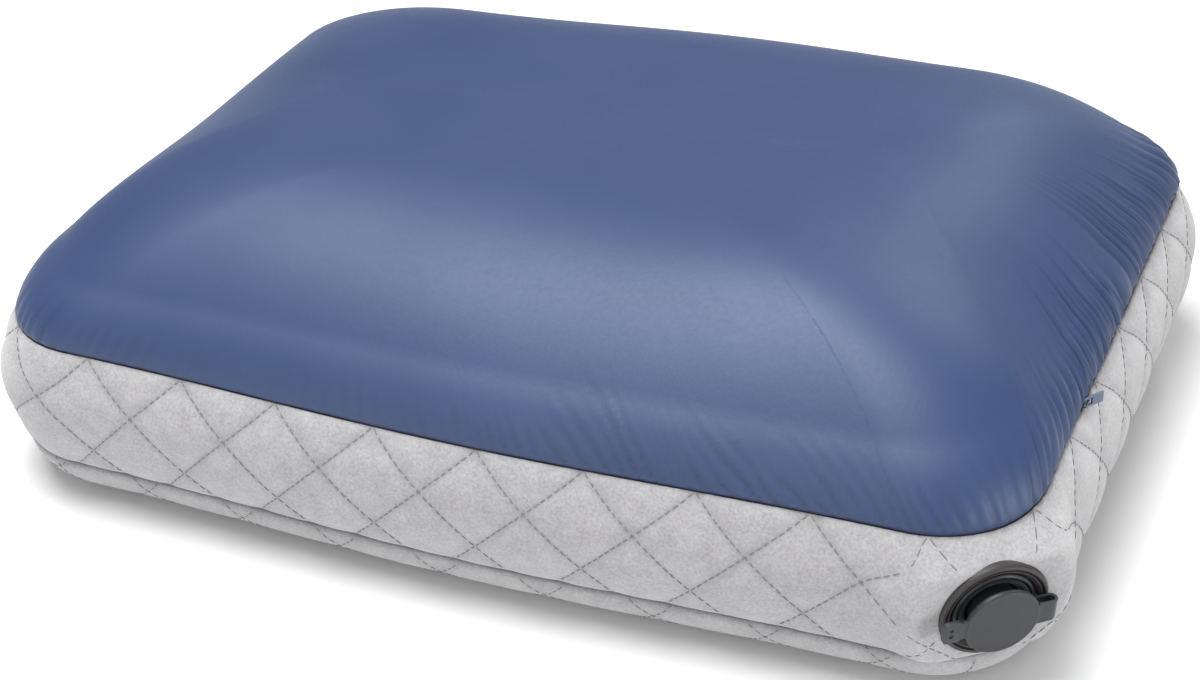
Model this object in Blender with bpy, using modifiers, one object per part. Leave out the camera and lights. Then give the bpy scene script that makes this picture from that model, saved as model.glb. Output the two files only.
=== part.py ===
"""Inflatable camp pillow: zipped quilted cover, soft padding, welded air cell and capped corner valve.

Lengths are in metres. +X runs along the pillow's long side, -Y is its front and +Z is up.
"""

import math

import bmesh
import bpy
from mathutils import Matrix, Vector

MM = 0.001
GAP = 0.3 * MM

# The whole pillow
LENGTH = 430 * MM
DEPTH = 330 * MM
HEIGHT = 130 * MM
CORNER_RADIUS = 50 * MM
LONG_SIDE_BOW = 5 * MM

# Seams of the cover
SEAM_HEIGHT = 75 * MM
SEAM_INSET = 9.5 * MM
BOTTOM_SEAM_HEIGHT = 20 * MM
BOTTOM_SEAM_INSET = 6 * MM
FLOOR_INSET = 34 * MM
CROWN_WIDTH = 92 * MM
CROWN_ROUNDNESS = 0.9
CROWN_FALL = 2.1
CROWN_SHOULDER = 0.7
CROWN_CROWDING = 1.5

# Layers, from the outside in
TOP_CLOTH = 0.8 * MM
QUILT = 3 * MM
PADDING = 7 * MM
CELL_SHEET = 0.8 * MM
WELD_WIDTH = 4 * MM
WELD_HEIGHT = 68 * MM
WELD_CLEARANCE = 0.9 * MM

# Baffle webs in the air cell
WEB_SPACING = 95 * MM
WEB_THICKNESS = 0.8 * MM
VENT_LENGTH = 26 * MM
VENT_HEIGHT = 16 * MM
VENT_SPACING = 90 * MM

# Valve, seen along its axis
VALVE_TURN = math.radians(40)
VALVE_TIP = math.radians(-8)
VALVE_HEIGHT = 44 * MM
PORT_RADIUS = 20 * MM
PORT_RING_WIDTH = 4.4 * MM
PORT_RING_PROUD = 1.6 * MM
PORT_GROOVE = 0.7 * MM
PORT_RING_TUCK = 3 * MM
NECK_WALL = 1.6 * MM
THROAT_RADIUS = 9.4 * MM
MOUTH_RADIUS = 12.2 * MM
SEAT_DEPTH = 7 * MM
SEAT_THICKNESS = 1.2 * MM
SEAT_LEDGE = 1.8 * MM
SHOULDER_DEPTH = 2 * MM
THROAT_DEPTH = 3 * MM
LIP_PROUD = 0.4 * MM
EDGE_SOFTNESS = 0.5 * MM
RING_SOFTNESS = 0.6 * MM
SPOKE_WIDTH = 1.8 * MM
HUB_RADIUS = 3 * MM
PIN_RADIUS = 1.2 * MM
PIN_HEAD_RADIUS = 2.4 * MM
FLAP_THICKNESS = 0.7 * MM
FLAP_LIFT = 1.5 * MM
BASE_FLANGE_RADIUS = 15 * MM
STRAP_RING_WIDTH = 1.5 * MM
CAP_RADIUS = 13.8 * MM
CAP_THICKNESS = 2.2 * MM
CAP_PROUD = 6 * MM
PLUG_WALL = 1.4 * MM
PLUG_DEPTH = 2.6 * MM
TAB_WIDTH = 9 * MM
TAB_LENGTH = 8 * MM
TAB_DIMPLE = 0.7 * MM
STRAP_WIDTH = 7 * MM
STRAP_THICKNESS = 1 * MM
STRAP_REACH = PORT_RADIUS + 1 * MM

# Zip in the right-hand seam
STRAIGHT_SIDE = DEPTH / 2 - LONG_SIDE_BOW - CORNER_RADIUS
ZIP_FRONT = -STRAIGHT_SIDE + 44 * MM
ZIP_BACK = STRAIGHT_SIDE - 2 * MM
ZIP_OPENING = 6.6 * MM
CHAIN_INSET = 3 * MM
TAPE_HEIGHT = 7 * MM
TAPE_THICKNESS = 0.6 * MM
TAPE_CLEARANCE = 0.8 * MM
COIL_RADIUS = 0.9 * MM
COIL_SPACING = 3.4 * MM
SLIDER_LENGTH = 8 * MM
SLIDER_HEIGHT = 5.8 * MM
SLIDER_WING = 1 * MM
SLIDER_POST = 1 * MM
STOP_LENGTH = 2 * MM
PULL_LENGTH = 9 * MM
PULL_WIDTH = 4.4 * MM
PULL_ANGLE = math.radians(55)
BRIDGE_WIRE = 0.8 * MM
PULL_ARM = 1 * MM

# Steps round the curved surfaces
CORNER_STEPS = 6
LONG_SIDE_STEPS = 6
SHORT_SIDE_STEPS = 2
HEM_STEPS = 3
BAND_STEPS = 4
CROWN_STEPS = 7
TURN_STEPS = 32

PART_COLLECTION = "camp_pillow"
CUTTER_COLLECTION = "cutters"


# ---------------------------------------------------------------- scene and materials


def clear_scene():
    for obj in list(bpy.data.objects):
        bpy.data.objects.remove(obj, do_unlink=True)


def make_collection(name, hidden=False):
    collection = bpy.data.collections.new(name)
    bpy.context.scene.collection.children.link(collection)
    collection.hide_render = hidden
    return collection


def make_material(name, colour, roughness, metallic=0.0):
    material = bpy.data.materials.new(name)
    material.use_nodes = True
    shader = material.node_tree.nodes["Principled BSDF"]
    shader.inputs["Base Color"].default_value = (*colour, 1.0)
    shader.inputs["Roughness"].default_value = roughness
    shader.inputs["Metallic"].default_value = metallic
    return material


def make_materials():
    return {
        "blue_nylon": make_material("blue_nylon", (0.075, 0.115, 0.27), 0.38),
        "grey_quilt": make_material("grey_quilt", (0.46, 0.45, 0.46), 0.95),
        "white_wadding": make_material("white_wadding", (0.82, 0.82, 0.8), 0.95),
        "cell_film": make_material("cell_film", (0.33, 0.36, 0.4), 0.45),
        "taupe_plastic": make_material("taupe_plastic", (0.065, 0.06, 0.06), 0.5),
        "slate_rubber": make_material("slate_rubber", (0.045, 0.05, 0.058), 0.45),
        "flap_silicone": make_material("flap_silicone", (0.5, 0.52, 0.53), 0.4),
        "zip_tape": make_material("zip_tape", (0.16, 0.15, 0.15), 0.9),
        "zip_coil": make_material("zip_coil", (0.12, 0.11, 0.11), 0.5),
        "zip_metal": make_material("zip_metal", (0.05, 0.055, 0.07), 0.35, 0.8),
        "pull_plastic": make_material("pull_plastic", (0.1, 0.13, 0.2), 0.5),
    }


def add_object(name, mesh, collection, material=None):
    obj = bpy.data.objects.new(name, mesh)
    collection.objects.link(obj)
    if material:
        mesh.materials.append(material)
    return obj


def mesh_from_bmesh(name, shape):
    bmesh.ops.recalc_face_normals(shape, faces=shape.faces)
    mesh = bpy.data.meshes.new(name)
    shape.to_mesh(mesh)
    shape.free()
    return mesh


def shade_smooth(obj, angle=math.radians(40)):
    obj.data.shade_smooth()
    obj.data.set_sharp_from_angle(angle=angle)


def bake_modifiers(obj):
    """Replace the object's mesh by its evaluated one, so that later steps can build on it."""
    bpy.context.view_layer.update()
    evaluated = obj.evaluated_get(bpy.context.evaluated_depsgraph_get())
    baked = bpy.data.meshes.new_from_object(evaluated)
    obj.modifiers.clear()
    old = obj.data
    obj.data = baked
    bpy.data.meshes.remove(old)


def boolean(obj, other, operation):
    step = obj.modifiers.new(operation.lower(), "BOOLEAN")
    step.operation = operation
    step.solver = "EXACT"
    step.object = other


# ---------------------------------------------------------------- the pillow's outer surface


def arc_points(centre, radius, start, steps):
    turn = math.pi / 2 / steps
    angles = [start + i * turn for i in range(steps)]
    return [centre + radius * Vector((math.cos(angle), math.sin(angle))) for angle in angles]


def side_points(start, end, outward, bow, steps):
    points = []
    for i in range(steps):
        along = i / steps
        swell = bow * 4 * along * (1 - along)
        points.append(start.lerp(end, along) + swell * outward)
    return points


def outline(half_x, half_y, radius, bow):
    """Rounded rectangle, counter-clockwise from its front right corner, with swollen long sides."""
    x, y = half_x - radius, half_y - radius
    points = arc_points(Vector((x, -y)), radius, -math.pi / 2, CORNER_STEPS)
    points += side_points(Vector((half_x, -y)), Vector((half_x, y)), Vector((1, 0)), 0, SHORT_SIDE_STEPS)
    points += arc_points(Vector((x, y)), radius, 0, CORNER_STEPS)
    points += side_points(Vector((x, half_y)), Vector((-x, half_y)), Vector((0, 1)), bow, LONG_SIDE_STEPS)
    points += arc_points(Vector((-x, y)), radius, math.pi / 2, CORNER_STEPS)
    points += side_points(Vector((-half_x, y)), Vector((-half_x, -y)), Vector((-1, 0)), 0, SHORT_SIDE_STEPS)
    points += arc_points(Vector((-x, -y)), radius, math.pi, CORNER_STEPS)
    points += side_points(Vector((-x, -half_y)), Vector((x, -half_y)), Vector((0, -1)), bow, LONG_SIDE_STEPS)
    return points


def hem_profile():
    """(inset, height) from the edge of the flat underside up to the bottom seam."""
    width = FLOOR_INSET - BOTTOM_SEAM_INSET
    points = []
    for i in range(HEM_STEPS + 1):
        angle = math.pi / 2 * i / HEM_STEPS
        inset = FLOOR_INSET - width * math.sin(angle)
        points.append((inset, BOTTOM_SEAM_HEIGHT * (1 - math.cos(angle))))
    return points


def band_profile():
    """(inset, height) from the bottom seam to the top one, swelling out between them."""
    swell = (BOTTOM_SEAM_INSET + SEAM_INSET) / 2
    points = []
    for i in range(BAND_STEPS + 1):
        up = i / BAND_STEPS
        inset = BOTTOM_SEAM_INSET + (SEAM_INSET - BOTTOM_SEAM_INSET) * up
        height = BOTTOM_SEAM_HEIGHT + (SEAM_HEIGHT - BOTTOM_SEAM_HEIGHT) * up
        points.append((inset - swell * 4 * up * (1 - up), height))
    return points


def crown_profile():
    """(inset, height) from the top seam to the edge of the level middle."""
    points = []
    for i in range(CROWN_STEPS + 1):
        across = (i / CROWN_STEPS) ** CROWN_CROWDING
        rise = (1 - (1 - across) ** CROWN_FALL) ** CROWN_SHOULDER
        points.append((SEAM_INSET + CROWN_WIDTH * across, SEAM_HEIGHT + (HEIGHT - SEAM_HEIGHT) * rise))
    return points


def ring_at(inset, height, across_crown):
    """One ring of the outer surface. Over the crown its corners open out and its long sides straighten."""
    half_x = LENGTH / 2 - inset
    half_y = DEPTH / 2 - LONG_SIDE_BOW - inset
    radius = CORNER_RADIUS - min(inset, SEAM_INSET) if across_crown else CORNER_RADIUS - inset
    middle_radius = CROWN_ROUNDNESS * (DEPTH / 2 - LONG_SIDE_BOW - SEAM_INSET - CROWN_WIDTH)
    radius += (middle_radius - radius) * across_crown
    bow = LONG_SIDE_BOW * (1 - across_crown)
    return [Vector((point.x, point.y, height)) for point in outline(half_x, half_y, radius, bow)]


def outer_rings():
    """The outer surface as rings of points, from the underside to the crown."""
    rings = [ring_at(inset, height, 0) for inset, height in hem_profile() + band_profile()[1:]]
    for inset, height in crown_profile()[1:]:
        rings.append(ring_at(inset, height, (inset - SEAM_INSET) / CROWN_WIDTH))
    return rings


def ring_normals(rings):
    """Outward unit normals of the surface that the rings span."""
    count = len(rings[0])
    normals = []
    for i, ring in enumerate(rings):
        below, above = rings[max(i - 1, 0)], rings[min(i + 1, len(rings) - 1)]
        row = []
        for j in range(count):
            around = ring[(j + 1) % count] - ring[j - 1]
            up = above[j] - below[j]
            row.append(around.cross(up).normalized())
        normals.append(row)
    return normals


def inner_rings(rings, depths):
    """The rings moved inwards, each by its own depth. The first and last keep level edges."""
    normals = ring_normals(rings)
    moved = []
    for ring, row, depth in zip(rings, normals, depths):
        moved.append([point - depth * normal for point, normal in zip(ring, row)])
    return moved


def lay_level(ring, height):
    return [Vector((point.x, point.y, height)) for point in ring]


# ---------------------------------------------------------------- shells spanned by rings


def loft(name, rings, cap_start=True, cap_end=True):
    """One closed mesh through the rings, in order, with flat caps or joined ends."""
    shape = bmesh.new()
    rows = [[shape.verts.new(point) for point in ring] for ring in rings]
    count = len(rows[0])
    pairs = list(zip(rows, rows[1:]))
    if not cap_start and not cap_end:
        pairs.append((rows[-1], rows[0]))
    for low, high in pairs:
        for j in range(count):
            k = (j + 1) % count
            shape.faces.new((low[j], low[k], high[k], high[j]))
    if cap_start:
        shape.faces.new(rows[0])
    if cap_end:
        shape.faces.new(rows[-1])
    return mesh_from_bmesh(name, shape)


def layer_rings(outer, inner):
    """Rings of a layer: up its outside and back down its inside."""
    return outer + inner[::-1]


def make_dome(name, outer, inner, collection, material):
    """A layer that is closed over the top or the bottom by its last rings."""
    shape = bmesh.new()
    for rings, flip in ((outer, False), (inner, True)):
        rows = [[shape.verts.new(point) for point in ring] for ring in rings]
        count = len(rows[0])
        for low, high in zip(rows, rows[1:]):
            for j in range(count):
                k = (j + 1) % count
                shape.faces.new((low[j], low[k], high[k], high[j]))
        shape.faces.new(rows[-1])
        if flip:
            inner_rim = rows[0]
        else:
            outer_rim = rows[0]
    for j in range(len(outer_rim)):
        k = (j + 1) % len(outer_rim)
        shape.faces.new((outer_rim[j], outer_rim[k], inner_rim[k], inner_rim[j]))
    obj = add_object(name, mesh_from_bmesh(name, shape), collection, material)
    shade_smooth(obj)
    return obj


def make_tube(name, outer, inner, collection, material):
    """A layer that is open at both ends."""
    obj = add_object(name, loft(name, layer_rings(outer, inner), False, False), collection, material)
    shade_smooth(obj)
    return obj


def make_turned(name, profile, collection, material, closed=True):
    """A solid turned round its own +Z axis from (radius, height) points.

    A closed profile keeps clear of the axis.
    """
    shape = bmesh.new()
    points = [shape.verts.new((radius, 0, height)) for radius, height in profile]
    for start, end in zip(points, points[1:]):
        shape.edges.new((start, end))
    if closed:
        shape.edges.new((points[-1], points[0]))
    mesh = bpy.data.meshes.new(name)
    shape.to_mesh(mesh)
    shape.free()
    obj = add_object(name, mesh, collection, material)
    turn = obj.modifiers.new("turn", "SCREW")
    turn.axis = "Z"
    turn.steps = TURN_STEPS
    turn.render_steps = TURN_STEPS
    turn.use_merge_vertices = True
    turn.merge_threshold = 0.01 * MM
    turn.use_normal_calculate = True
    bake_modifiers(obj)
    face_outwards(obj)
    return obj


def face_outwards(obj):
    shape = bmesh.new()
    shape.from_mesh(obj.data)
    bmesh.ops.recalc_face_normals(shape, faces=shape.faces)
    shape.to_mesh(obj.data)
    shape.free()


def make_box(name, low, high, collection, material=None, bevel=0.0):
    low, high = Vector(low), Vector(high)
    shape = bmesh.new()
    size = Matrix.Diagonal((*(high - low), 1))
    bmesh.ops.create_cube(shape, size=1, matrix=Matrix.Translation((low + high) / 2) @ size)
    if bevel:
        bmesh.ops.bevel(shape, geom=shape.edges[:], offset=bevel, segments=2, profile=0.5, affect="EDGES")
    return add_object(name, mesh_from_bmesh(name, shape), collection, material)


def make_disc(name, radius, low, high, collection, material=None, segments=TURN_STEPS):
    """A cylinder round its own +Z axis, from one height to another."""
    shape = bmesh.new()
    middle = Matrix.Translation((0, 0, (low + high) / 2))
    bmesh.ops.create_cone(
        shape,
        cap_ends=True,
        segments=segments,
        radius1=radius,
        radius2=radius,
        depth=high - low,
        matrix=middle,
    )
    return add_object(name, mesh_from_bmesh(name, shape), collection, material)


def make_prism(name, outline_xz, start_y, end_y, collection, material=None):
    """A straight bar along Y with the given (x, z) section."""
    rings = [[Vector((x, y, z)) for x, z in outline_xz] for y in (start_y, end_y)]
    return add_object(name, loft(name, rings), collection, material)


def ribbon(path, thickness):
    """Section of a strip of even thickness along a path of 2-D points."""
    path = [Vector(point) for point in path]
    left, right = [], []
    for i, point in enumerate(path):
        before = (point - path[i - 1]).normalized() if i else None
        after = (path[i + 1] - point).normalized() if i + 1 < len(path) else before
        before = before or after
        along = (before + after).normalized()
        mitre = thickness / 2 / max(along.dot(after), 0.5)
        aside = Vector((along.y, -along.x)) * mitre
        left.append(point - aside)
        right.append(point + aside)
    return left + right[::-1]


def make_rod(name, points, radius, collection, material):
    curve = bpy.data.curves.new(name, "CURVE")
    curve.dimensions = "3D"
    curve.bevel_depth = radius
    curve.bevel_resolution = 2
    curve.use_fill_caps = True
    spline = curve.splines.new("POLY")
    spline.points.add(len(points) - 1)
    for point, place in zip(spline.points, points):
        point.co = (*place, 1)
    return add_object(name, curve, collection, material)


# ---------------------------------------------------------------- cover, padding and air cell


class Body:
    """The pillow's outer surface and the depths of the layers under it."""

    def __init__(self):
        self.profile = hem_profile() + band_profile()[1:]
        self.rings = outer_rings()
        self.above_weld = next(i for i, (_, height) in enumerate(self.profile) if height > WELD_HEIGHT)
        self.bottom_seam = HEM_STEPS
        self.top_seam = HEM_STEPS + BAND_STEPS
        self.padding_start = self.top_seam + 2

    def at_depths(self, depth_of):
        """The rings moved in by depth_of(index)."""
        depths = [depth_of(i) for i in range(len(self.rings))]
        moved = inner_rings(self.rings, depths)
        moved[0] = lay_level(moved[0], depths[0])
        moved[-1] = lay_level(moved[-1], HEIGHT - depths[-1])
        return moved

    def cell_depth(self, i):
        """Depth of the air cell's outside: on the bottom panel, inside the weld, under the padding."""
        if i <= self.bottom_seam:
            return QUILT + GAP
        if i <= self.top_seam:
            return QUILT + WELD_CLEARANCE + WELD_WIDTH
        return TOP_CLOTH + GAP + PADDING + GAP


def make_top_panel(body, collection, material):
    seam = body.top_seam
    inner = body.at_depths(lambda i: TOP_CLOTH)
    level = SEAM_HEIGHT + GAP / 2
    outer_rows = [lay_level(body.rings[seam], level)] + body.rings[seam + 1 :]
    inner_rows = [lay_level(inner[seam], level)] + inner[seam + 1 :]
    return make_dome("top_panel", outer_rows, inner_rows, collection, material)


def make_side_band(body, collection, material):
    low, high = body.bottom_seam, body.top_seam
    inner = body.at_depths(lambda i: QUILT)

    def rows(rings):
        bottom = lay_level(rings[low], BOTTOM_SEAM_HEIGHT + GAP / 2)
        top = lay_level(rings[high], SEAM_HEIGHT - GAP / 2)
        return [bottom] + rings[low + 1 : high] + [top]

    return make_tube("side_band", rows(body.rings), rows(inner), collection, material)


def make_bottom_panel(body, collection, material):
    seam = body.bottom_seam
    inner = body.at_depths(lambda i: QUILT)
    level = BOTTOM_SEAM_HEIGHT - GAP / 2
    outer_rows = [lay_level(body.rings[seam], level)] + body.rings[:seam][::-1]
    inner_rows = [lay_level(inner[seam], level)] + inner[:seam][::-1]
    return make_dome("bottom_panel", outer_rows, inner_rows, collection, material)


def make_top_padding(body, collection, material):
    start = body.padding_start
    outer = body.at_depths(lambda i: TOP_CLOTH + GAP)
    inner = body.at_depths(lambda i: TOP_CLOTH + GAP + PADDING)
    return make_dome("top_padding", outer[start:], inner[start:], collection, material)


def weld_ring(body, depth):
    """A ring round the air cell at the weld's height, in from the cover's outside by the given depth."""
    above = body.above_weld
    low, high = body.profile[above - 1], body.profile[above]
    share = (WELD_HEIGHT - low[1]) / (high[1] - low[1])
    inset = low[0] + (high[0] - low[0]) * share
    return ring_at(inset + depth, WELD_HEIGHT, 0)


def make_cell_sheet(name, body, upper, collection, material):
    """Half of the air cell, with the lip that is welded to the other half."""
    outer = body.at_depths(body.cell_depth)
    inner = body.at_depths(lambda i: body.cell_depth(i) + CELL_SHEET)
    above = body.above_weld
    tip = weld_ring(body, QUILT + WELD_CLEARANCE)
    wall = weld_ring(body, QUILT + WELD_CLEARANCE + WELD_WIDTH)
    lining = weld_ring(body, QUILT + WELD_CLEARANCE + WELD_WIDTH + CELL_SHEET)
    side = 1 if upper else -1
    face = WELD_HEIGHT + side * GAP / 2
    back = face + side * CELL_SHEET
    lip = [lay_level(tip, face), lay_level(tip, back), lay_level(wall, back)]
    outer_wall = outer[above:] if upper else outer[:above][::-1]
    inner_wall = inner[above:] if upper else inner[:above][::-1]
    return make_dome(name, lip + outer_wall, [lay_level(lining, face)] + inner_wall, collection, material)


def make_webs(body, collection, cutters, material):
    """Three upright sheets across the air cell, with holes that let the air pass."""
    room = body.at_depths(lambda i: body.cell_depth(i) + CELL_SHEET + GAP)
    inside = add_object("cell_room", loft("cell_room", room), cutters)
    half_length = DEPTH / 2 - CORNER_RADIUS
    webs = []
    for name, step in (("left_web", -1), ("middle_web", 0), ("right_web", 1)):
        middle = step * WEB_SPACING
        low = (middle - WEB_THICKNESS / 2, -half_length, 0)
        high = (middle + WEB_THICKNESS / 2, half_length, HEIGHT)
        web = make_box(name, low, high, collection, material)
        boolean(web, inside, "INTERSECT")
        for row in (-1, 0, 1):
            vent = make_disc(f"{name}_vent_{row}", 0.5, -0.5, 0.5, cutters, segments=20)
            vent.location = (middle, row * VENT_SPACING, (SEAM_HEIGHT + BOTTOM_SEAM_HEIGHT) / 2)
            vent.rotation_euler = (0, math.pi / 2, 0)
            vent.scale = (VENT_HEIGHT, VENT_LENGTH, 4 * WEB_THICKNESS)
            boolean(web, vent, "DIFFERENCE")
        webs.append(web)
    return webs


# ---------------------------------------------------------------- valve


def valve_matrix():
    """The valve's frame: +Z out of the pillow along the valve's axis, +Y up, +X towards its strap."""
    reach = CORNER_RADIUS
    corner_x = LENGTH / 2 - CORNER_RADIUS
    corner_y = -(DEPTH / 2 - LONG_SIDE_BOW - CORNER_RADIUS)
    sine, cosine = math.sin(VALVE_TURN), math.cos(VALVE_TURN)
    origin = Vector((corner_x + reach * sine, corner_y - reach * cosine, VALVE_HEIGHT))
    outwards = Vector((sine * math.cos(VALVE_TIP), -cosine * math.cos(VALVE_TIP), math.sin(VALVE_TIP)))
    across = Vector((cosine, sine, 0))
    frame = Matrix((across, outwards.cross(across), outwards)).transposed().to_4x4()
    return Matrix.Translation(origin) @ frame


class Valve:
    """Radii and heights that the valve's pieces share, along its axis from the cover's outside."""

    def __init__(self):
        self.port_inner = PORT_RADIUS - PORT_RING_WIDTH
        self.ring_top = PORT_RING_PROUD
        self.ring_bottom = -QUILT - PORT_RING_TUCK
        self.strap_outer = self.port_inner - GAP
        self.strap_inner = self.strap_outer - STRAP_RING_WIDTH
        self.lip = self.strap_inner - GAP
        self.neck_top = LIP_PROUD
        self.shoulder = -SHOULDER_DEPTH
        self.throat_top = -THROAT_DEPTH
        self.neck_outer = THROAT_RADIUS + NECK_WALL
        self.seat_radius = THROAT_RADIUS - SEAT_LEDGE
        self.seat_bottom = -SEAT_DEPTH - SEAT_THICKNESS
        self.flap_bottom = self.seat_bottom - GAP - FLAP_THICKNESS
        self.barb_top = self.flap_bottom - FLAP_LIFT - GAP
        self.neck_bottom = self.barb_top + GAP
        self.cap_bottom = self.ring_top + CAP_PROUD - CAP_THICKNESS
        self.cap_top = self.cap_bottom + CAP_THICKNESS
        self.strap_low = self.ring_top + GAP + STRAP_THICKNESS / 2
        self.strap_high = self.cap_top - CAP_THICKNESS / 2
        self.hinge_height = (self.strap_low + self.strap_high) / 2
        self.hinge_reach = STRAP_REACH - (self.strap_high - self.strap_low + STRAP_THICKNESS) / 2


def make_port_ring(valve, collection, material):
    middle = (PORT_RADIUS + valve.port_inner) / 2
    profile = [
        (PORT_RADIUS - RING_SOFTNESS, valve.ring_top),
        (PORT_RADIUS, valve.ring_top - RING_SOFTNESS),
        (PORT_RADIUS, valve.ring_bottom),
        (valve.port_inner, valve.ring_bottom),
        (valve.port_inner, valve.ring_top),
        (middle - PORT_GROOVE, valve.ring_top),
        (middle, valve.ring_top - PORT_GROOVE),
        (middle + PORT_GROOVE, valve.ring_top),
    ]
    ring = make_turned("port_ring", profile, collection, material)
    shade_smooth(ring)
    return ring


def make_base_flange(body, frame, cutters):
    """The dished flange that is welded round the hole in the air cell, in the valve's own frame."""
    outside = body.at_depths(lambda i: body.cell_depth(i) - GAP - CELL_SHEET)
    inside = body.at_depths(lambda i: body.cell_depth(i) - GAP)
    low, high = body.bottom_seam, body.top_seam + 1
    skin = loft("base_flange", layer_rings(outside[low:high], inside[low:high]), False, False)
    flange = add_object("base_flange", skin, cutters)
    punch = make_disc("base_flange_edge", BASE_FLANGE_RADIUS, -PORT_RADIUS, 0, cutters)
    punch.matrix_world = frame
    boolean(flange, punch, "INTERSECT")
    bore = make_disc("base_flange_bore", THROAT_RADIUS + NECK_WALL / 2, -PORT_RADIUS, PORT_RADIUS, cutters)
    bore.matrix_world = frame
    boolean(flange, bore, "DIFFERENCE")
    bake_modifiers(flange)
    flange.data.transform(frame.inverted())
    return flange


def make_valve_base(valve, body, frame, collection, cutters, material):
    ledge = (THROAT_RADIUS + MOUTH_RADIUS) / 2
    profile = [
        (valve.lip, valve.neck_top),
        (valve.lip, valve.shoulder),
        (valve.strap_outer, valve.shoulder),
        (valve.strap_outer, valve.shoulder - SEAT_THICKNESS),
        (valve.neck_outer, valve.shoulder - SEAT_THICKNESS),
        (valve.neck_outer, valve.neck_bottom),
        (THROAT_RADIUS, valve.neck_bottom),
        (THROAT_RADIUS, valve.seat_bottom),
        (valve.seat_radius, valve.seat_bottom),
        (valve.seat_radius, -SEAT_DEPTH),
        (THROAT_RADIUS, -SEAT_DEPTH),
        (THROAT_RADIUS, valve.throat_top),
        (ledge, valve.throat_top + (ledge - THROAT_RADIUS)),
        (ledge, -MM),
        (MOUTH_RADIUS, -MM),
        (MOUTH_RADIUS, valve.neck_top),
    ]
    base = make_turned("valve_base", profile, collection, material)
    boolean(base, make_base_flange(body, frame, cutters), "UNION")
    reach = (valve.seat_radius + THROAT_RADIUS) / 2
    half = SPOKE_WIDTH / 2
    for i in range(3):
        name = f"seat_spoke_{i}"
        spoke = make_box(name, (0, -half, valve.seat_bottom), (reach, half, -SEAT_DEPTH), cutters)
        spoke.data.transform(Matrix.Rotation(i * math.tau / 3, 4, "Z"))
        boolean(base, spoke, "UNION")
    boolean(base, make_disc("seat_hub", HUB_RADIUS, valve.seat_bottom, -SEAT_DEPTH, cutters), "UNION")
    drill = make_disc("hub_drill", PIN_RADIUS + GAP, valve.neck_bottom, 0, cutters, segments=20)
    boolean(base, drill, "DIFFERENCE")
    bake_modifiers(base)
    shade_smooth(base)
    return base


def make_flap(valve, collection, material):
    top = valve.seat_bottom - GAP
    profile = [
        (THROAT_RADIUS - GAP, top),
        (THROAT_RADIUS - GAP, valve.flap_bottom),
        (PIN_RADIUS + GAP, valve.flap_bottom),
        (PIN_RADIUS + GAP, top),
    ]
    return make_turned("valve_flap", profile, collection, material)


def make_flap_pin(valve, collection, material):
    head_bottom = -SEAT_DEPTH + GAP
    barb_bottom = valve.barb_top - PIN_RADIUS
    profile = [
        (0, head_bottom + PIN_RADIUS),
        (PIN_HEAD_RADIUS / 2, head_bottom + PIN_RADIUS),
        (PIN_HEAD_RADIUS, head_bottom),
        (PIN_RADIUS, head_bottom),
        (PIN_RADIUS, valve.barb_top),
        (PIN_HEAD_RADIUS, valve.barb_top),
        (PIN_HEAD_RADIUS / 2, barb_bottom),
        (0, barb_bottom),
    ]
    return make_turned("flap_pin", profile, collection, material, closed=False)


def make_strap_ring(valve, collection, cutters, material):
    bottom = valve.shoulder + GAP
    profile = [
        (valve.strap_outer, valve.neck_top),
        (valve.strap_outer, bottom),
        (valve.strap_inner, bottom),
        (valve.strap_inner, valve.neck_top),
    ]
    ring = make_turned("strap_ring", profile, collection, material)
    top = valve.strap_low + STRAP_THICKNESS / 2
    inner = math.sqrt(valve.strap_inner**2 - (STRAP_WIDTH / 2) ** 2) + GAP
    outer = math.sqrt(valve.strap_outer**2 - (STRAP_WIDTH / 2) ** 2)
    low = (inner, -STRAP_WIDTH / 2, bottom)
    high = (outer, STRAP_WIDTH / 2, top)
    boolean(ring, make_box("strap_root", low, high, cutters), "UNION")
    punch = make_disc("strap_root_bore", valve.strap_inner, bottom - MM, top + MM, cutters)
    boolean(ring, punch, "DIFFERENCE")
    bake_modifiers(ring)
    shade_smooth(ring)
    return ring


def strap_path(valve):
    """Centre line (x, z) of the strap: out over the port ring, round the bend and back to the cap."""
    root = math.sqrt(valve.strap_outer**2 - (STRAP_WIDTH / 2) ** 2) + GAP
    bend = (valve.strap_high - valve.strap_low) / 2
    steps = 8
    path = [(root, valve.strap_low)]
    for i in range(steps + 1):
        angle = -math.pi / 2 + math.pi * i / steps
        path.append((valve.hinge_reach + bend * math.cos(angle), valve.hinge_height + bend * math.sin(angle)))
    path.append((CAP_RADIUS + GAP, valve.strap_high))
    return path


def make_strap(valve, collection, material):
    section = ribbon(strap_path(valve), STRAP_THICKNESS)
    strap = make_prism("cap_strap", section, -STRAP_WIDTH / 2, STRAP_WIDTH / 2, collection, material)
    shade_smooth(strap)
    return strap


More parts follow.
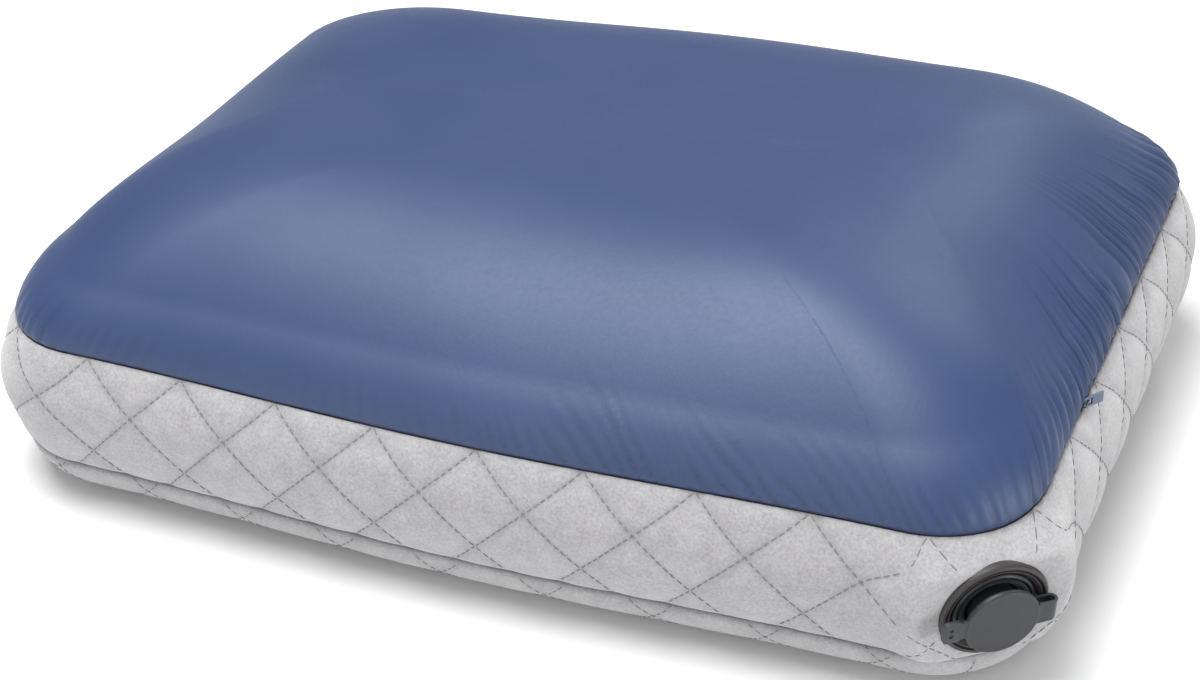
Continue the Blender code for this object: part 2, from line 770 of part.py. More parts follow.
def make_cap(valve, collection, cutters, material):
    plug_outer = THROAT_RADIUS - 1.5 * GAP
    plug_inner = plug_outer - PLUG_WALL
    plug_bottom = valve.throat_top - PLUG_DEPTH
    profile = [
        (0, valve.cap_top),
        (CAP_RADIUS - EDGE_SOFTNESS, valve.cap_top),
        (CAP_RADIUS, valve.cap_top - EDGE_SOFTNESS),
        (CAP_RADIUS, valve.cap_bottom),
        (plug_outer, valve.cap_bottom),
        (plug_outer, valve.throat_top),
        (plug_outer - EDGE_SOFTNESS, plug_bottom),
        (plug_inner, plug_bottom),
        (plug_inner, valve.cap_bottom),
        (0, valve.cap_bottom),
    ]
    cap = make_turned("valve_cap", profile, collection, material, closed=False)
    half = TAB_WIDTH / 2
    end = -CAP_RADIUS - TAB_LENGTH
    tab_bottom, tab_top = valve.cap_bottom + GAP, valve.cap_top - GAP
    root = -CAP_RADIUS + 2 * MM
    tab = make_box("cap_tab", (end, -half, tab_bottom), (root, half, tab_top), cutters, bevel=EDGE_SOFTNESS)
    boolean(cap, tab, "UNION")
    for side in (-1, 1):
        name = f"tab_dimple_{side}"
        dimple = make_disc(name, TAB_DIMPLE, tab_top - TAB_DIMPLE, tab_top + MM, cutters, segments=12)
        dimple.data.transform(Matrix.Translation((end + TAB_LENGTH / 3, side * 2 * TAB_DIMPLE, 0)))
        boolean(cap, dimple, "DIFFERENCE")
    bake_modifiers(cap)
    shade_smooth(cap)
    return cap


# ---------------------------------------------------------------- zip


class Zip:
    """Places that the zip's pieces share. Its line runs along Y through the right-hand seam."""

    def __init__(self):
        self.x = LENGTH / 2 - SEAM_INSET
        self.seam = Vector((self.x, SEAM_HEIGHT))
        crown = crown_profile()[1]
        band = band_profile()[-2]
        self.up = Vector((LENGTH / 2 - crown[0], crown[1])) - self.seam
        self.down = Vector((LENGTH / 2 - band[0], band[1])) - self.seam
        self.up.normalize()
        self.down.normalize()
        self.chain_front = ZIP_FRONT + STOP_LENGTH + GAP
        self.chain_back = ZIP_BACK - STOP_LENGTH - GAP
        self.slider_y = self.chain_front + SLIDER_LENGTH / 2
        self.coil_x = self.x - CHAIN_INSET
        self.tape_start = COIL_SPACING / 2 + COIL_RADIUS + GAP
        self.face_front = self.coil_x + COIL_RADIUS + GAP
        self.face_back = self.coil_x - COIL_RADIUS - GAP
        self.hinge_x = self.face_front + SLIDER_WING + GAP + BRIDGE_WIRE / 2

    def under_cover(self, direction, along, depth):
        """(x, z) at a distance from the seam along the cover, and a depth under it."""
        inward = Vector((-abs(direction.y), direction.x * math.copysign(1, direction.y)))
        return self.seam + along * direction + depth * inward


def make_tapes(zip_line, collection, material):
    """Each tape stands beside its coil and then bends to lie against the cover's inside."""
    depth = TOP_CLOTH + TAPE_CLEARANCE + TAPE_THICKNESS / 2
    bend = ZIP_OPENING / 2 + 2 * TAPE_THICKNESS + depth / 2
    tapes = []
    for name, direction, side in (("upper_tape", zip_line.up, 1), ("lower_tape", zip_line.down, -1)):
        path = [
            (zip_line.coil_x, SEAM_HEIGHT + side * zip_line.tape_start),
            (zip_line.coil_x, SEAM_HEIGHT + side * (zip_line.tape_start + TAPE_THICKNESS)),
            zip_line.under_cover(direction, bend, depth),
            zip_line.under_cover(direction, bend + TAPE_HEIGHT, depth),
        ]
        section = ribbon(path, TAPE_THICKNESS)
        tapes.append(make_prism(name, section, ZIP_FRONT, ZIP_BACK, collection, material))
    return tapes


def make_coils(zip_line, collection, material):
    coils = []
    for name, side in (("upper_coil", 1), ("lower_coil", -1)):
        height = SEAM_HEIGHT + side * COIL_SPACING / 2
        ends = [(zip_line.coil_x, y, height) for y in (zip_line.chain_front, zip_line.chain_back)]
        coils.append(make_rod(name, ends, COIL_RADIUS, collection, material))
    return coils


def make_stops(zip_line, collection, material):
    half = COIL_SPACING / 2 + COIL_RADIUS
    stops = []
    for name, start in (("front_stop", ZIP_FRONT), ("back_stop", ZIP_BACK - STOP_LENGTH)):
        low = (zip_line.coil_x - COIL_RADIUS, start, SEAM_HEIGHT - half)
        high = (zip_line.coil_x + COIL_RADIUS, start + STOP_LENGTH, SEAM_HEIGHT + half)
        stops.append(make_box(name, low, high, collection, material, bevel=GAP))
    return stops


def make_slider(zip_line, collection, cutters, material):
    half = SLIDER_HEIGHT / 2
    y = SLIDER_LENGTH / 2
    front = zip_line.face_front + SLIDER_WING
    back = zip_line.face_back - SLIDER_WING
    low, high = (zip_line.face_front, -y, -half), (front, y, half)
    slider = make_box("zip_slider", low, high, collection, material, bevel=GAP)
    wing = make_box("slider_wing", (back, -y, -half), (zip_line.face_back, y, half), cutters, bevel=GAP)
    boolean(slider, wing, "UNION")
    low = (zip_line.face_back - GAP, -y / 2, -SLIDER_POST / 2)
    high = (zip_line.face_front + GAP, y / 2, SLIDER_POST / 2)
    boolean(slider, make_box("slider_post", low, high, cutters), "UNION")
    bridge = make_bridge(zip_line, front, cutters)
    boolean(slider, bridge, "UNION")
    bake_modifiers(slider)
    centre = Vector((zip_line.x, zip_line.slider_y, SEAM_HEIGHT))
    slider.data.transform(Matrix.Translation((-zip_line.x, 0, 0)))
    slider.location = centre
    shade_smooth(slider)
    return slider


def make_bridge(zip_line, front, cutters):
    """The arch over the slider's face that its pull hangs on."""
    wire = BRIDGE_WIRE / 2
    crest = zip_line.hinge_x + BRIDGE_WIRE + GAP
    reach = SLIDER_LENGTH / 2 - BRIDGE_WIRE - GAP
    points = [
        (front - wire, -reach, 0),
        (crest, -reach + wire, 0),
        (crest, reach - wire, 0),
        (front - wire, reach, 0),
    ]
    rod = make_rod("slider_bridge", points, wire, cutters, None)
    mesh = bpy.data.meshes.new_from_object(rod)
    shape = bmesh.new()
    shape.from_mesh(mesh)
    bmesh.ops.remove_doubles(shape, verts=shape.verts, dist=0.001 * MM)
    return add_object("slider_bridge_solid", mesh_from_bmesh("slider_bridge_solid", shape), cutters)


def make_pull(zip_line, collection, cutters, material):
    """The tab. Its own X runs along it from the bar under the bridge, which is its hinge."""
    bar = BRIDGE_WIRE / 2
    window = SLIDER_LENGTH / 2 - GAP
    half = PULL_WIDTH / 2
    low, high = (-bar, -bar, -half), (PULL_LENGTH, bar, half)
    pull = make_box("zip_pull", low, high, collection, material, bevel=GAP / 2)
    hole = make_box("pull_window", (bar, -half, -half + PULL_ARM), (window, half, half - PULL_ARM), cutters)
    boolean(pull, hole, "DIFFERENCE")
    bake_modifiers(pull)
    hinge = Matrix.Translation((zip_line.hinge_x, zip_line.slider_y, SEAM_HEIGHT))
    pull.matrix_world = hinge @ Matrix.Rotation(PULL_ANGLE, 4, "Z")
    shade_smooth(pull)
    return pull


def cut_zip_opening(zip_line, top_panel, side_band, cutters):
    """Open the seam along the chain, and thin the band behind it for the tape."""
    half = ZIP_OPENING / 2
    low = (zip_line.x - 2 * QUILT, ZIP_FRONT - GAP, SEAM_HEIGHT - half)
    high = (zip_line.x + 2 * QUILT, ZIP_BACK + GAP, SEAM_HEIGHT + half)
    slot = make_box("zip_slot", low, high, cutters)
    boolean(top_panel, slot, "DIFFERENCE")
    boolean(side_band, slot, "DIFFERENCE")
    end = ZIP_OPENING + TAPE_HEIGHT
    corners = ((-GAP, TOP_CLOTH), (end, TOP_CLOTH), (end, 2 * QUILT), (-GAP, 2 * QUILT))
    section = [zip_line.under_cover(zip_line.down, along, depth) for along, depth in corners]
    rebate = make_prism("tape_rebate", section, ZIP_FRONT - GAP, ZIP_BACK + GAP, cutters)
    boolean(side_band, rebate, "DIFFERENCE")


def cut_valve_holes(valve, frame, side_band, lower_sheet, cutters):
    for name, target, radius in (
        ("port_hole", side_band, PORT_RADIUS + GAP),
        ("neck_hole", lower_sheet, valve.neck_outer + GAP),
    ):
        punch = make_disc(name, radius, -PORT_RADIUS, PORT_RADIUS, cutters)
        punch.matrix_world = frame
        boolean(target, punch, "DIFFERENCE")


def place_on(parent_name, frame, pieces, collection):
    """Parent the pieces, built round their own origin, to an empty that stands in the given frame."""
    axis = bpy.data.objects.new(parent_name, None)
    collection.objects.link(axis)
    axis.matrix_world = frame
    for piece in pieces:
        piece.parent = axis
    return axis


def main():
    clear_scene()
    collection = make_collection(PART_COLLECTION)
    cutters = make_collection(CUTTER_COLLECTION, hidden=True)
    materials = make_materials()
    body = Body()

    top_panel = make_top_panel(body, collection, materials["blue_nylon"])
    side_band = make_side_band(body, collection, materials["grey_quilt"])
    make_bottom_panel(body, collection, materials["grey_quilt"])
    make_top_padding(body, collection, materials["white_wadding"])
    make_cell_sheet("upper_cell_sheet", body, True, collection, materials["cell_film"])
    lower_sheet = make_cell_sheet("lower_cell_sheet", body, False, collection, materials["cell_film"])
    make_webs(body, collection, cutters, materials["cell_film"])

    valve, frame = Valve(), valve_matrix()
    slate = materials["slate_rubber"]
    fixed = [
        make_port_ring(valve, collection, materials["taupe_plastic"]),
        make_valve_base(valve, body, frame, collection, cutters, slate),
        make_flap(valve, collection, materials["flap_silicone"]),
        make_flap_pin(valve, collection, slate),
        make_strap_ring(valve, collection, cutters, slate),
    ]
    place_on("valve_axis", frame, fixed, collection)
    hinge = Matrix.Translation((valve.hinge_reach, 0, valve.hinge_height))
    lid = [make_cap(valve, collection, cutters, slate), make_strap(valve, collection, slate)]
    for piece in lid:
        piece.data.transform(hinge.inverted())
    place_on("cap_hinge", frame @ hinge, lid, collection)
    cut_valve_holes(valve, frame, side_band, lower_sheet, cutters)

    zip_line = Zip()
    cut_zip_opening(zip_line, top_panel, side_band, cutters)
    make_tapes(zip_line, collection, materials["zip_tape"])
    make_coils(zip_line, collection, materials["zip_coil"])
    make_stops(zip_line, collection, materials["zip_metal"])
    make_slider(zip_line, collection, cutters, materials["zip_metal"])
    make_pull(zip_line, collection, cutters, materials["pull_plastic"])

    for cutter in cutters.objects:
        cutter.hide_render = True
        cutter.display_type = "WIRE"


main()
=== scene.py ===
"""Looks of an inflatable camp pillow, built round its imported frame.

Lengths are in metres. +X runs along the pillow's long side, -Y is its front and +Z is up.
"""

from __future__ import annotations

import logging
import math
import sys
from collections.abc import Callable, Iterator, Sequence
from dataclasses import dataclass, field
from enum import Enum
from typing import TypeAlias

import bmesh
import bpy
import numpy as np
from mathutils import Matrix, Vector
from mathutils.bvhtree import BVHTree
from mathutils.geometry import barycentric_transform


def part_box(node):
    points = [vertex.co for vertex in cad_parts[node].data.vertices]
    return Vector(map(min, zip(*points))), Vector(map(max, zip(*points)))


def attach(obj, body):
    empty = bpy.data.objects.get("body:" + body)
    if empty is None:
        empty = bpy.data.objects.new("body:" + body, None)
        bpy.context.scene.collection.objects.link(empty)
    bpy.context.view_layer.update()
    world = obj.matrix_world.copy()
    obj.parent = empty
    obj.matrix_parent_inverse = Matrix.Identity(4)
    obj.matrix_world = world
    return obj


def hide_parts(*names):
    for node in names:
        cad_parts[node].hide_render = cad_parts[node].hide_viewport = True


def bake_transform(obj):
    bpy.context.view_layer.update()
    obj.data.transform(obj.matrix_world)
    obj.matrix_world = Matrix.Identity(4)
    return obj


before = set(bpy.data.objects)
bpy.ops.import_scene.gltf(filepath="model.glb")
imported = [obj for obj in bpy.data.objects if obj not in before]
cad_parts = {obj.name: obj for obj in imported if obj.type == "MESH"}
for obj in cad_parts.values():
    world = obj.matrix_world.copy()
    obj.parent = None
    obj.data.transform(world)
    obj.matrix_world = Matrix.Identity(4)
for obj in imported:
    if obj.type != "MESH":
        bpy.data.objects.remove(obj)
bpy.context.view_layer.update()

MM = 0.001
log = logging.getLogger("camp_pillow")

Colour = tuple[float, float, float]
Place = tuple[float, float, float]
Number: TypeAlias = "float | Signal"


# ---------------------------------------------------------------- finishes


class Signal:
    """What varies over a surface, as one output of a node tree. Arithmetic on it adds Math nodes."""

    def __init__(self, tree: FinishTree, socket: bpy.types.NodeSocket) -> None:
        """Keep the tree and the output socket."""
        self.tree = tree
        self.socket = socket

    def _math(self, operation: str, first: Number, second: Number = 0.0) -> Signal:
        """Add one Math node.

        Args:
            operation: The node's operation.
            first: Its first value.
            second: Its second value.

        Returns:
            The node's result.
        """
        return self.tree.node("ShaderNodeMath", {0: first, 1: second}, {"operation": operation})

    def __add__(self, other: Number) -> Signal:
        """Return self + other."""
        return self._math("ADD", self, other)

    def __radd__(self, other: float) -> Signal:
        """Return other + self."""
        return self._math("ADD", other, self)

    def __sub__(self, other: Number) -> Signal:
        """Return self - other."""
        return self._math("SUBTRACT", self, other)

    def __rsub__(self, other: float) -> Signal:
        """Return other - self."""
        return self._math("SUBTRACT", other, self)

    def __mul__(self, other: Number) -> Signal:
        """Return self * other."""
        return self._math("MULTIPLY", self, other)

    def __rmul__(self, other: float) -> Signal:
        """Return other * self."""
        return self._math("MULTIPLY", other, self)

    def wave(self, spacing: float) -> Signal:
        """Return a wave from 0 to 1 that repeats at each spacing."""
        return self._math("SINE", self * (math.tau / spacing)) * 0.5 + 0.5

    def clamped(self) -> Signal:
        """Return self kept between 0 and 1."""
        return self.tree.node("ShaderNodeClamp", {"Value": self})


class FinishTree:
    """The node tree of one material."""

    def __init__(self, name: str) -> None:
        """Make a material with a Principled shader alone in its tree.

        Args:
            name: The material's name.
        """
        self.material = bpy.data.materials.new(name)
        self.material.use_nodes = True
        self.tree = self.material.node_tree
        self.shader = self.tree.nodes["Principled BSDF"]

    def node(
        self,
        kind: str,
        inputs: dict[str | int, object] | None = None,
        settings: dict[str, object] | None = None,
        output: str | int = 0,
    ) -> Signal:
        """Add a node.

        Args:
            kind: The node's type.
            inputs: A value or signal for each named or numbered socket.
            settings: The node's own settings, which are set first.
            output: The socket wanted.

        Returns:
            That output.
        """
        made = self.tree.nodes.new(kind)
        for key, value in (settings or {}).items():
            setattr(made, key, value)
        for key, value in (inputs or {}).items():
            self._feed(made.inputs[key], value)
        return Signal(self, made.outputs[output])

    def _feed(self, socket: bpy.types.NodeSocket, value: object) -> None:
        """Link a signal to a socket, or set the socket's value.

        Args:
            socket: The input socket.
            value: A signal, a number, a colour or a vector.
        """
        if isinstance(value, Signal):
            self.tree.links.new(value.socket, socket)
        elif socket.type == "RGBA":
            socket.default_value = (*value, 1.0)
        else:
            socket.default_value = value

    def set(self, **sockets: object) -> None:
        """Feed the shader's sockets.

        Args:
            sockets: A value or signal for each socket, named in lower case with _ for a space.
        """
        for name, value in sockets.items():
            self._feed(self.shader.inputs[name.replace("_", " ").title().replace("Ior", "IOR")], value)

    def place(self) -> Signal:
        """Return the point's place on the object, in metres."""
        return self.node("ShaderNodeTexCoord", output="Object")

    def measure(self, name: str) -> Signal:
        """Return a number stored on the mesh under this name."""
        return self.node("ShaderNodeAttribute", settings={"attribute_name": name}, output="Fac")

    def noise(self, size: float, detail: float = 2.0, stretch: Place = (1.0, 1.0, 1.0)) -> Signal:
        """Make soft noise.

        Args:
            size: The size of its blotches.
            detail: How many finer layers it has.
            stretch: How much finer it is along X, Y and Z.

        Returns:
            A signal round 0.5.
        """
        place = self.node("ShaderNodeVectorMath", {0: self.place(), 1: stretch}, {"operation": "MULTIPLY"})
        return self.node("ShaderNodeTexNoise", {"Vector": place, "Scale": 1 / size, "Detail": detail})

    def mix(self, share: Number, first: Colour | Signal, second: Colour | Signal) -> Signal:
        """Mix two colours.

        Args:
            share: How much of the second there is.
            first: The colour at 0.
            second: The colour at 1.

        Returns:
            The mixed colour.
        """
        return self.node("ShaderNodeMix", {0: share, 6: first, 7: second}, {"data_type": "RGBA"}, output=2)

    def bump(self, height: Signal, depth: float, strength: float = 1.0) -> Signal:
        """Make a normal from a height.

        Args:
            height: A signal from 0 to 1.
            depth: The height in metres that 1 stands for.
            strength: How much of it shows.

        Returns:
            The normal.
        """
        return self.node("ShaderNodeBump", {"Height": height, "Distance": depth, "Strength": strength})


@dataclass(frozen=True)
class Finish:
    """A finish named for the record's material slot that it shows."""

    slot: str

    def shade(self, tree: FinishTree) -> None:
        """Build the finish.

        Args:
            tree: The new material's tree.
        """
        raise NotImplementedError

    def material(self) -> bpy.types.Material:
        """Make the finish's material, once.

        Returns:
            The material.
        """
        name = f"{self.slot}_finish"
        if name not in bpy.data.materials:
            tree = FinishTree(name)
            self.shade(tree)
        return bpy.data.materials[name]

    def dress(self, piece: bpy.types.Object) -> None:
        """Put the finish on all of a piece's slots.

        Args:
            piece: The piece.
        """
        if not piece.data.materials:
            piece.data.materials.append(None)
        for slot in piece.material_slots:
            slot.material = self.material()


@dataclass(frozen=True)
class GlossyNylon(Finish):
    """Fine plain-weave nylon with a satin shine."""

    colour: Colour = (0.0175, 0.042, 0.12)
    worn: Colour = (0.029, 0.055, 0.145)
    # The dark blue of the shade painted into the gathers' creases and along the seam; slubs darken a little
    # toward it too.
    crease_shade: Colour = (0.012, 0.027, 0.078)
    thread: float = 0.55 * MM

    def shade(self, tree: FinishTree) -> None:
        """Build the weave, its soft clouding, and the shade painted darker into the creases of the gathers
        and along the seam.

        Args:
            tree: The new material's tree.
        """
        cloud = tree.noise(60 * MM, 3.0)
        body = tree.mix((cloud - 0.3) * 1.6, self.colour, self.worn)
        # How much shade is painted at each point, stored on the mesh: most in the gathers' creases and at
        # the seam.
        crease_shade = tree.measure("crease_shade")
        weave = tree.measure("around").wave(self.thread) * tree.measure("along").wave(self.thread)
        slub = tree.noise(1.6 * MM, 2.0, (1.0, 1.0, 0.4))
        # Slubs darken a little toward the same dark blue as the painted shade; this part is yarn tone.
        body = tree.mix(slub * 0.16, body, self.crease_shade)
        tree.set(
            base_color=tree.mix((crease_shade * 0.95).clamped(), body, self.crease_shade),
            roughness=0.48 + slub * 0.1 - cloud * 0.05,
            specular_ior_level=0.66,
            specular_tint=(0.86, 0.9, 1.0),
            sheen_weight=0.06,
            sheen_roughness=0.3,
            sheen_tint=(0.62, 0.72, 1.0),
            normal=tree.bump(weave * 0.5 + slub, 0.06 * MM, 0.55),
        )


@dataclass(frozen=True)
class QuiltedMicrofibre(Finish):
    """Brushed melange microfibre with a short nap, with shade painted darker along the stitching and the
    seams.
    """

    light: Colour = (0.415, 0.408, 0.418)
    dark: Colour = (0.265, 0.26, 0.27)
    # seam is the colour of the shade painted into the stitch hollows and along the seams.
    seam: Colour = (0.2, 0.197, 0.205)

    def shade(self, tree: FinishTree) -> None:
        """Build the flecks of light and dark yarn, the nap, and the shade painted along the stitches and the
        seams.

        Args:
            tree: The new material's tree.
        """
        fleck = tree.noise(1.1 * MM, 3.0)
        patch = tree.noise(7 * MM, 4.0)
        yarn = (fleck - 0.5) * 1.7 + (patch - 0.5) * 1.0 + 0.5
        body = tree.mix(yarn.clamped(), self.dark, self.light)
        # How much shade is painted at each point: most in the stitch hollows and next to the seams.
        valley_shade = tree.measure("crease_shade")
        nap = tree.noise(0.55 * MM, 2.0)
        tree.set(
            base_color=tree.mix((valley_shade * 0.55).clamped(), body, self.seam),
            roughness=0.93 - fleck * 0.08,
            specular_ior_level=0.25,
            sheen_weight=0.45,
            sheen_roughness=0.6,
            normal=tree.bump(nap * 0.6 + fleck, 0.22 * MM, 0.8),
        )


@dataclass(frozen=True)
class SpunThread(Finish):
    """Twisted polyester sewing thread."""

    light: Colour = (0.25, 0.25, 0.262)
    dark: Colour = (0.11, 0.112, 0.122)

    def shade(self, tree: FinishTree) -> None:
        """Build the twist of the thread.

        Args:
            tree: The new material's tree.
        """
        twist = tree.noise(0.5 * MM, 1.0)
        tree.set(
            base_color=tree.mix(twist, self.dark, self.light),
            roughness=0.75 + twist * 0.1,
            normal=tree.bump(twist, 0.1 * MM, 0.6),
        )


@dataclass(frozen=True)
class MouldedPlastic(Finish):
    """Moulded plastic or rubber with a fine spark-eroded grain and paler sharp edges."""

    colour: Colour
    pale_tone: Colour
    roughness: float
    grain: float = 0.35 * MM
    relief: float = 0.03 * MM
    metallic: float = 0.0

    def shade(self, tree: FinishTree) -> None:
        """Build the grain, the faint handling marks and the paler edges.

        Args:
            tree: The new material's tree.
        """
        grain = tree.noise(self.grain, 2.0)
        mark = tree.noise(5 * MM, 4.0)
        edge = tree.node("ShaderNodeNewGeometry", output="Pointiness")
        # Paler on sharp convex edges, found from pointiness, and in faint blotches.
        paling = ((edge - 0.5) * 5.0).clamped() * 0.6 + (mark - 0.45) * 0.35
        tree.set(
            base_color=tree.mix(paling.clamped(), self.colour, self.pale_tone),
            roughness=self.roughness + (mark - 0.5) * 0.22 + (grain - 0.5) * 0.1,
            metallic=self.metallic,
            specular_ior_level=0.45,
            normal=tree.bump(grain, self.relief, 0.7),
        )


@dataclass(frozen=True)
class WovenTape(Finish):
    """Herringbone zip tape."""

    light: Colour = (0.235, 0.225, 0.225)
    dark: Colour = (0.1, 0.096, 0.1)
    rib: float = 0.8 * MM

    def shade(self, tree: FinishTree) -> None:
        """Build ribs across the tape and the yarn between them.

        Args:
            tree: The new material's tree.
        """
        parts = tree.node("ShaderNodeSeparateXYZ", {0: tree.place()}, output="Y")
        ribs = (parts + tree.noise(3 * MM) * self.rib).wave(self.rib)
        yarn = tree.noise(0.5 * MM, 2.0)
        tree.set(
            base_color=tree.mix((ribs * 0.6 + yarn * 0.4).clamped(), self.dark, self.light),
            roughness=0.85 + yarn * 0.1,
            normal=tree.bump(ribs + yarn * 0.4, 0.12 * MM, 0.8),
        )


@dataclass(frozen=True)
class Wadding(Finish):
    """Loose white polyester wadding."""

    light: Colour = (0.86, 0.86, 0.84)
    dark: Colour = (0.7, 0.7, 0.68)

    def shade(self, tree: FinishTree) -> None:
        """Build tangled fibres and soft clumps.

        Args:
            tree: The new material's tree.
        """
        fibre = tree.noise(1.2 * MM, 4.0, (1.0, 3.0, 1.0))
        clump = tree.noise(14 * MM, 2.0)
        tree.set(
            base_color=tree.mix((fibre * 0.5 + clump * 0.5).clamped(), self.dark, self.light),
            roughness=0.92 + fibre * 0.06,
            normal=tree.bump(fibre + clump, 0.8 * MM, 0.9),
        )


@dataclass(frozen=True)
class CoatedFilm(Finish):
    """Fabric with a smooth welded coating, as the air cell's sheets."""

    colour: Colour = (0.3, 0.33, 0.37)
    shade_colour: Colour = (0.2, 0.22, 0.26)

    def shade(self, tree: FinishTree) -> None:
        """Build the fabric's fine grid under its coating.

        Args:
            tree: The new material's tree.
        """
        parts = tree.place()
        across = tree.node("ShaderNodeSeparateXYZ", {0: parts}, output="X").wave(1.2 * MM)
        down = tree.node("ShaderNodeSeparateXYZ", {0: parts}, output="Y").wave(1.2 * MM)
        grid = across * down
        crinkle = tree.noise(9 * MM, 4.0)
        tree.set(
            base_color=tree.mix((grid * 0.4 + crinkle * 0.5).clamped(), self.colour, self.shade_colour),
            roughness=0.35 + crinkle * 0.25,
            normal=tree.bump(crinkle + grid * 0.1, 0.5 * MM, 0.6),
        )


NYLON = GlossyNylon("blue_nylon")
QUILT = QuiltedMicrofibre("grey_quilt")
THREAD = SpunThread("quilt_thread")
TAUPE = MouldedPlastic("taupe_plastic", (0.03, 0.027, 0.0265), (0.09, 0.083, 0.079), 0.5)
SLATE = MouldedPlastic("slate_rubber", (0.019, 0.022, 0.028), (0.085, 0.091, 0.102), 0.44)
SILICONE = MouldedPlastic("flap_silicone", (0.5, 0.52, 0.53), (0.62, 0.63, 0.64), 0.38)
METAL = MouldedPlastic("zip_metal", (0.055, 0.06, 0.075), (0.3, 0.31, 0.33), 0.32, metallic=0.8)
COIL = MouldedPlastic("zip_coil", (0.13, 0.12, 0.118), (0.26, 0.25, 0.24), 0.42)
PULL = MouldedPlastic("pull_plastic", (0.075, 0.1, 0.16), (0.2, 0.25, 0.34), 0.42)
TAPE = WovenTape("zip_tape")
WADDING = Wadding("white_wadding")
FILM = CoatedFilm("cell_film")


# ---------------------------------------------------------------- meshes


def add_object(name: str, data: bpy.types.ID) -> bpy.types.Object:
    """Add an object to the scene's own collection.

    Args:
        name: Its name.
        data: Its mesh, curve, light or camera.

    Returns:
        The object.
    """
    made = bpy.data.objects.new(name, data)
    bpy.context.scene.collection.objects.link(made)
    return made


def add_piece(
    name: str, points: np.ndarray, faces: Sequence[Sequence[int]], smooth: bool = True
) -> bpy.types.Object:
    """Make an object from points and faces.

    Args:
        name: The piece's name.
        points: One row of x, y, z for each point.
        faces: Point numbers of each face.
        smooth: Whether it is shaded smooth.

    Returns:
        The object.
    """
    mesh = bpy.data.meshes.new(name)
    mesh.from_pydata(points.tolist(), [], faces)
    mesh.validate()
    if smooth:
        mesh.shade_smooth()
    return add_object(name, mesh)


def ring_faces(rings: int, count: int, closed: bool = False) -> list[tuple[int, ...]]:
    """Join rings of points, each to the next, by four-sided faces.

    Args:
        rings: How many rings there are.
        count: How many points each has.
        closed: Whether the last ring joins the first.

    Returns:
        The point numbers of each face.
    """
    faces = []
    for low in range(rings if closed else rings - 1):
        high = (low + 1) % rings
        for j in range(count):
            k = (j + 1) % count
            faces.append((low * count + j, low * count + k, high * count + k, high * count + j))
    return faces


def face_outwards(piece: bpy.types.Object) -> None:
    """Turn a closed piece's faces outwards.

    Args:
        piece: The piece.
    """
    shape = bmesh.new()
    shape.from_mesh(piece.data)
    bmesh.ops.recalc_face_normals(shape, faces=shape.faces)
    shape.to_mesh(piece.data)
    shape.free()


def apply_modifiers(piece: bpy.types.Object) -> None:
    """Replace a piece's mesh by its evaluated one.

    Args:
        piece: The piece, whose modifiers are cleared.
    """
    bpy.context.view_layer.update()
    evaluated = piece.evaluated_get(bpy.context.evaluated_depsgraph_get())
    baked = bpy.data.meshes.new_from_object(evaluated)
    piece.modifiers.clear()
    piece.data = baked


def thicken(piece: bpy.types.Object, thickness: float) -> None:
    """Give a sheet its thickness on its inner side.

    Args:
        piece: The sheet, with its faces outwards.
        thickness: How thick it is.
    """
    cloth = piece.modifiers.new("thickness", "SOLIDIFY")
    cloth.thickness = thickness
    cloth.offset = -1
    apply_modifiers(piece)


def smooth_step(value: np.ndarray, low: float, high: float) -> np.ndarray:
    """Return 0 below low, 1 above high and a smooth rise between them."""
    share = np.clip((value - low) / (high - low), 0, 1)
    return share * share * (3 - 2 * share)


def wander(places: np.ndarray, step: float, whole: float, seed: int) -> np.ndarray:
    """Make smooth noise along a closed line.

    Args:
        places: Distances along the line.
        step: The distance between independent values.
        whole: The line's whole length.
        seed: The noise's seed.

    Returns:
        Values from -1 to 1.
    """
    count = max(int(round(whole / step)), 4)
    knots = np.random.default_rng(seed).uniform(-1, 1, count)
    at = (places / whole * count) % count
    low = np.floor(at).astype(int)
    share = smooth_step(at - low, 0, 1)
    return knots[low % count] * (1 - share) + knots[(low + 1) % count] * share


def distances_round(line: np.ndarray) -> tuple[np.ndarray, float]:
    """Measure a closed line.

    Args:
        line: Its points, one to a row.

    Returns:
        Each point's distance along it from the first, and its whole length.
    """
    steps = np.linalg.norm(np.diff(np.vstack([line, line[:1]]), axis=0), axis=1)
    return np.concatenate([[0], np.cumsum(steps)[:-1]]), float(steps.sum())


# ---------------------------------------------------------------- the pillow's form


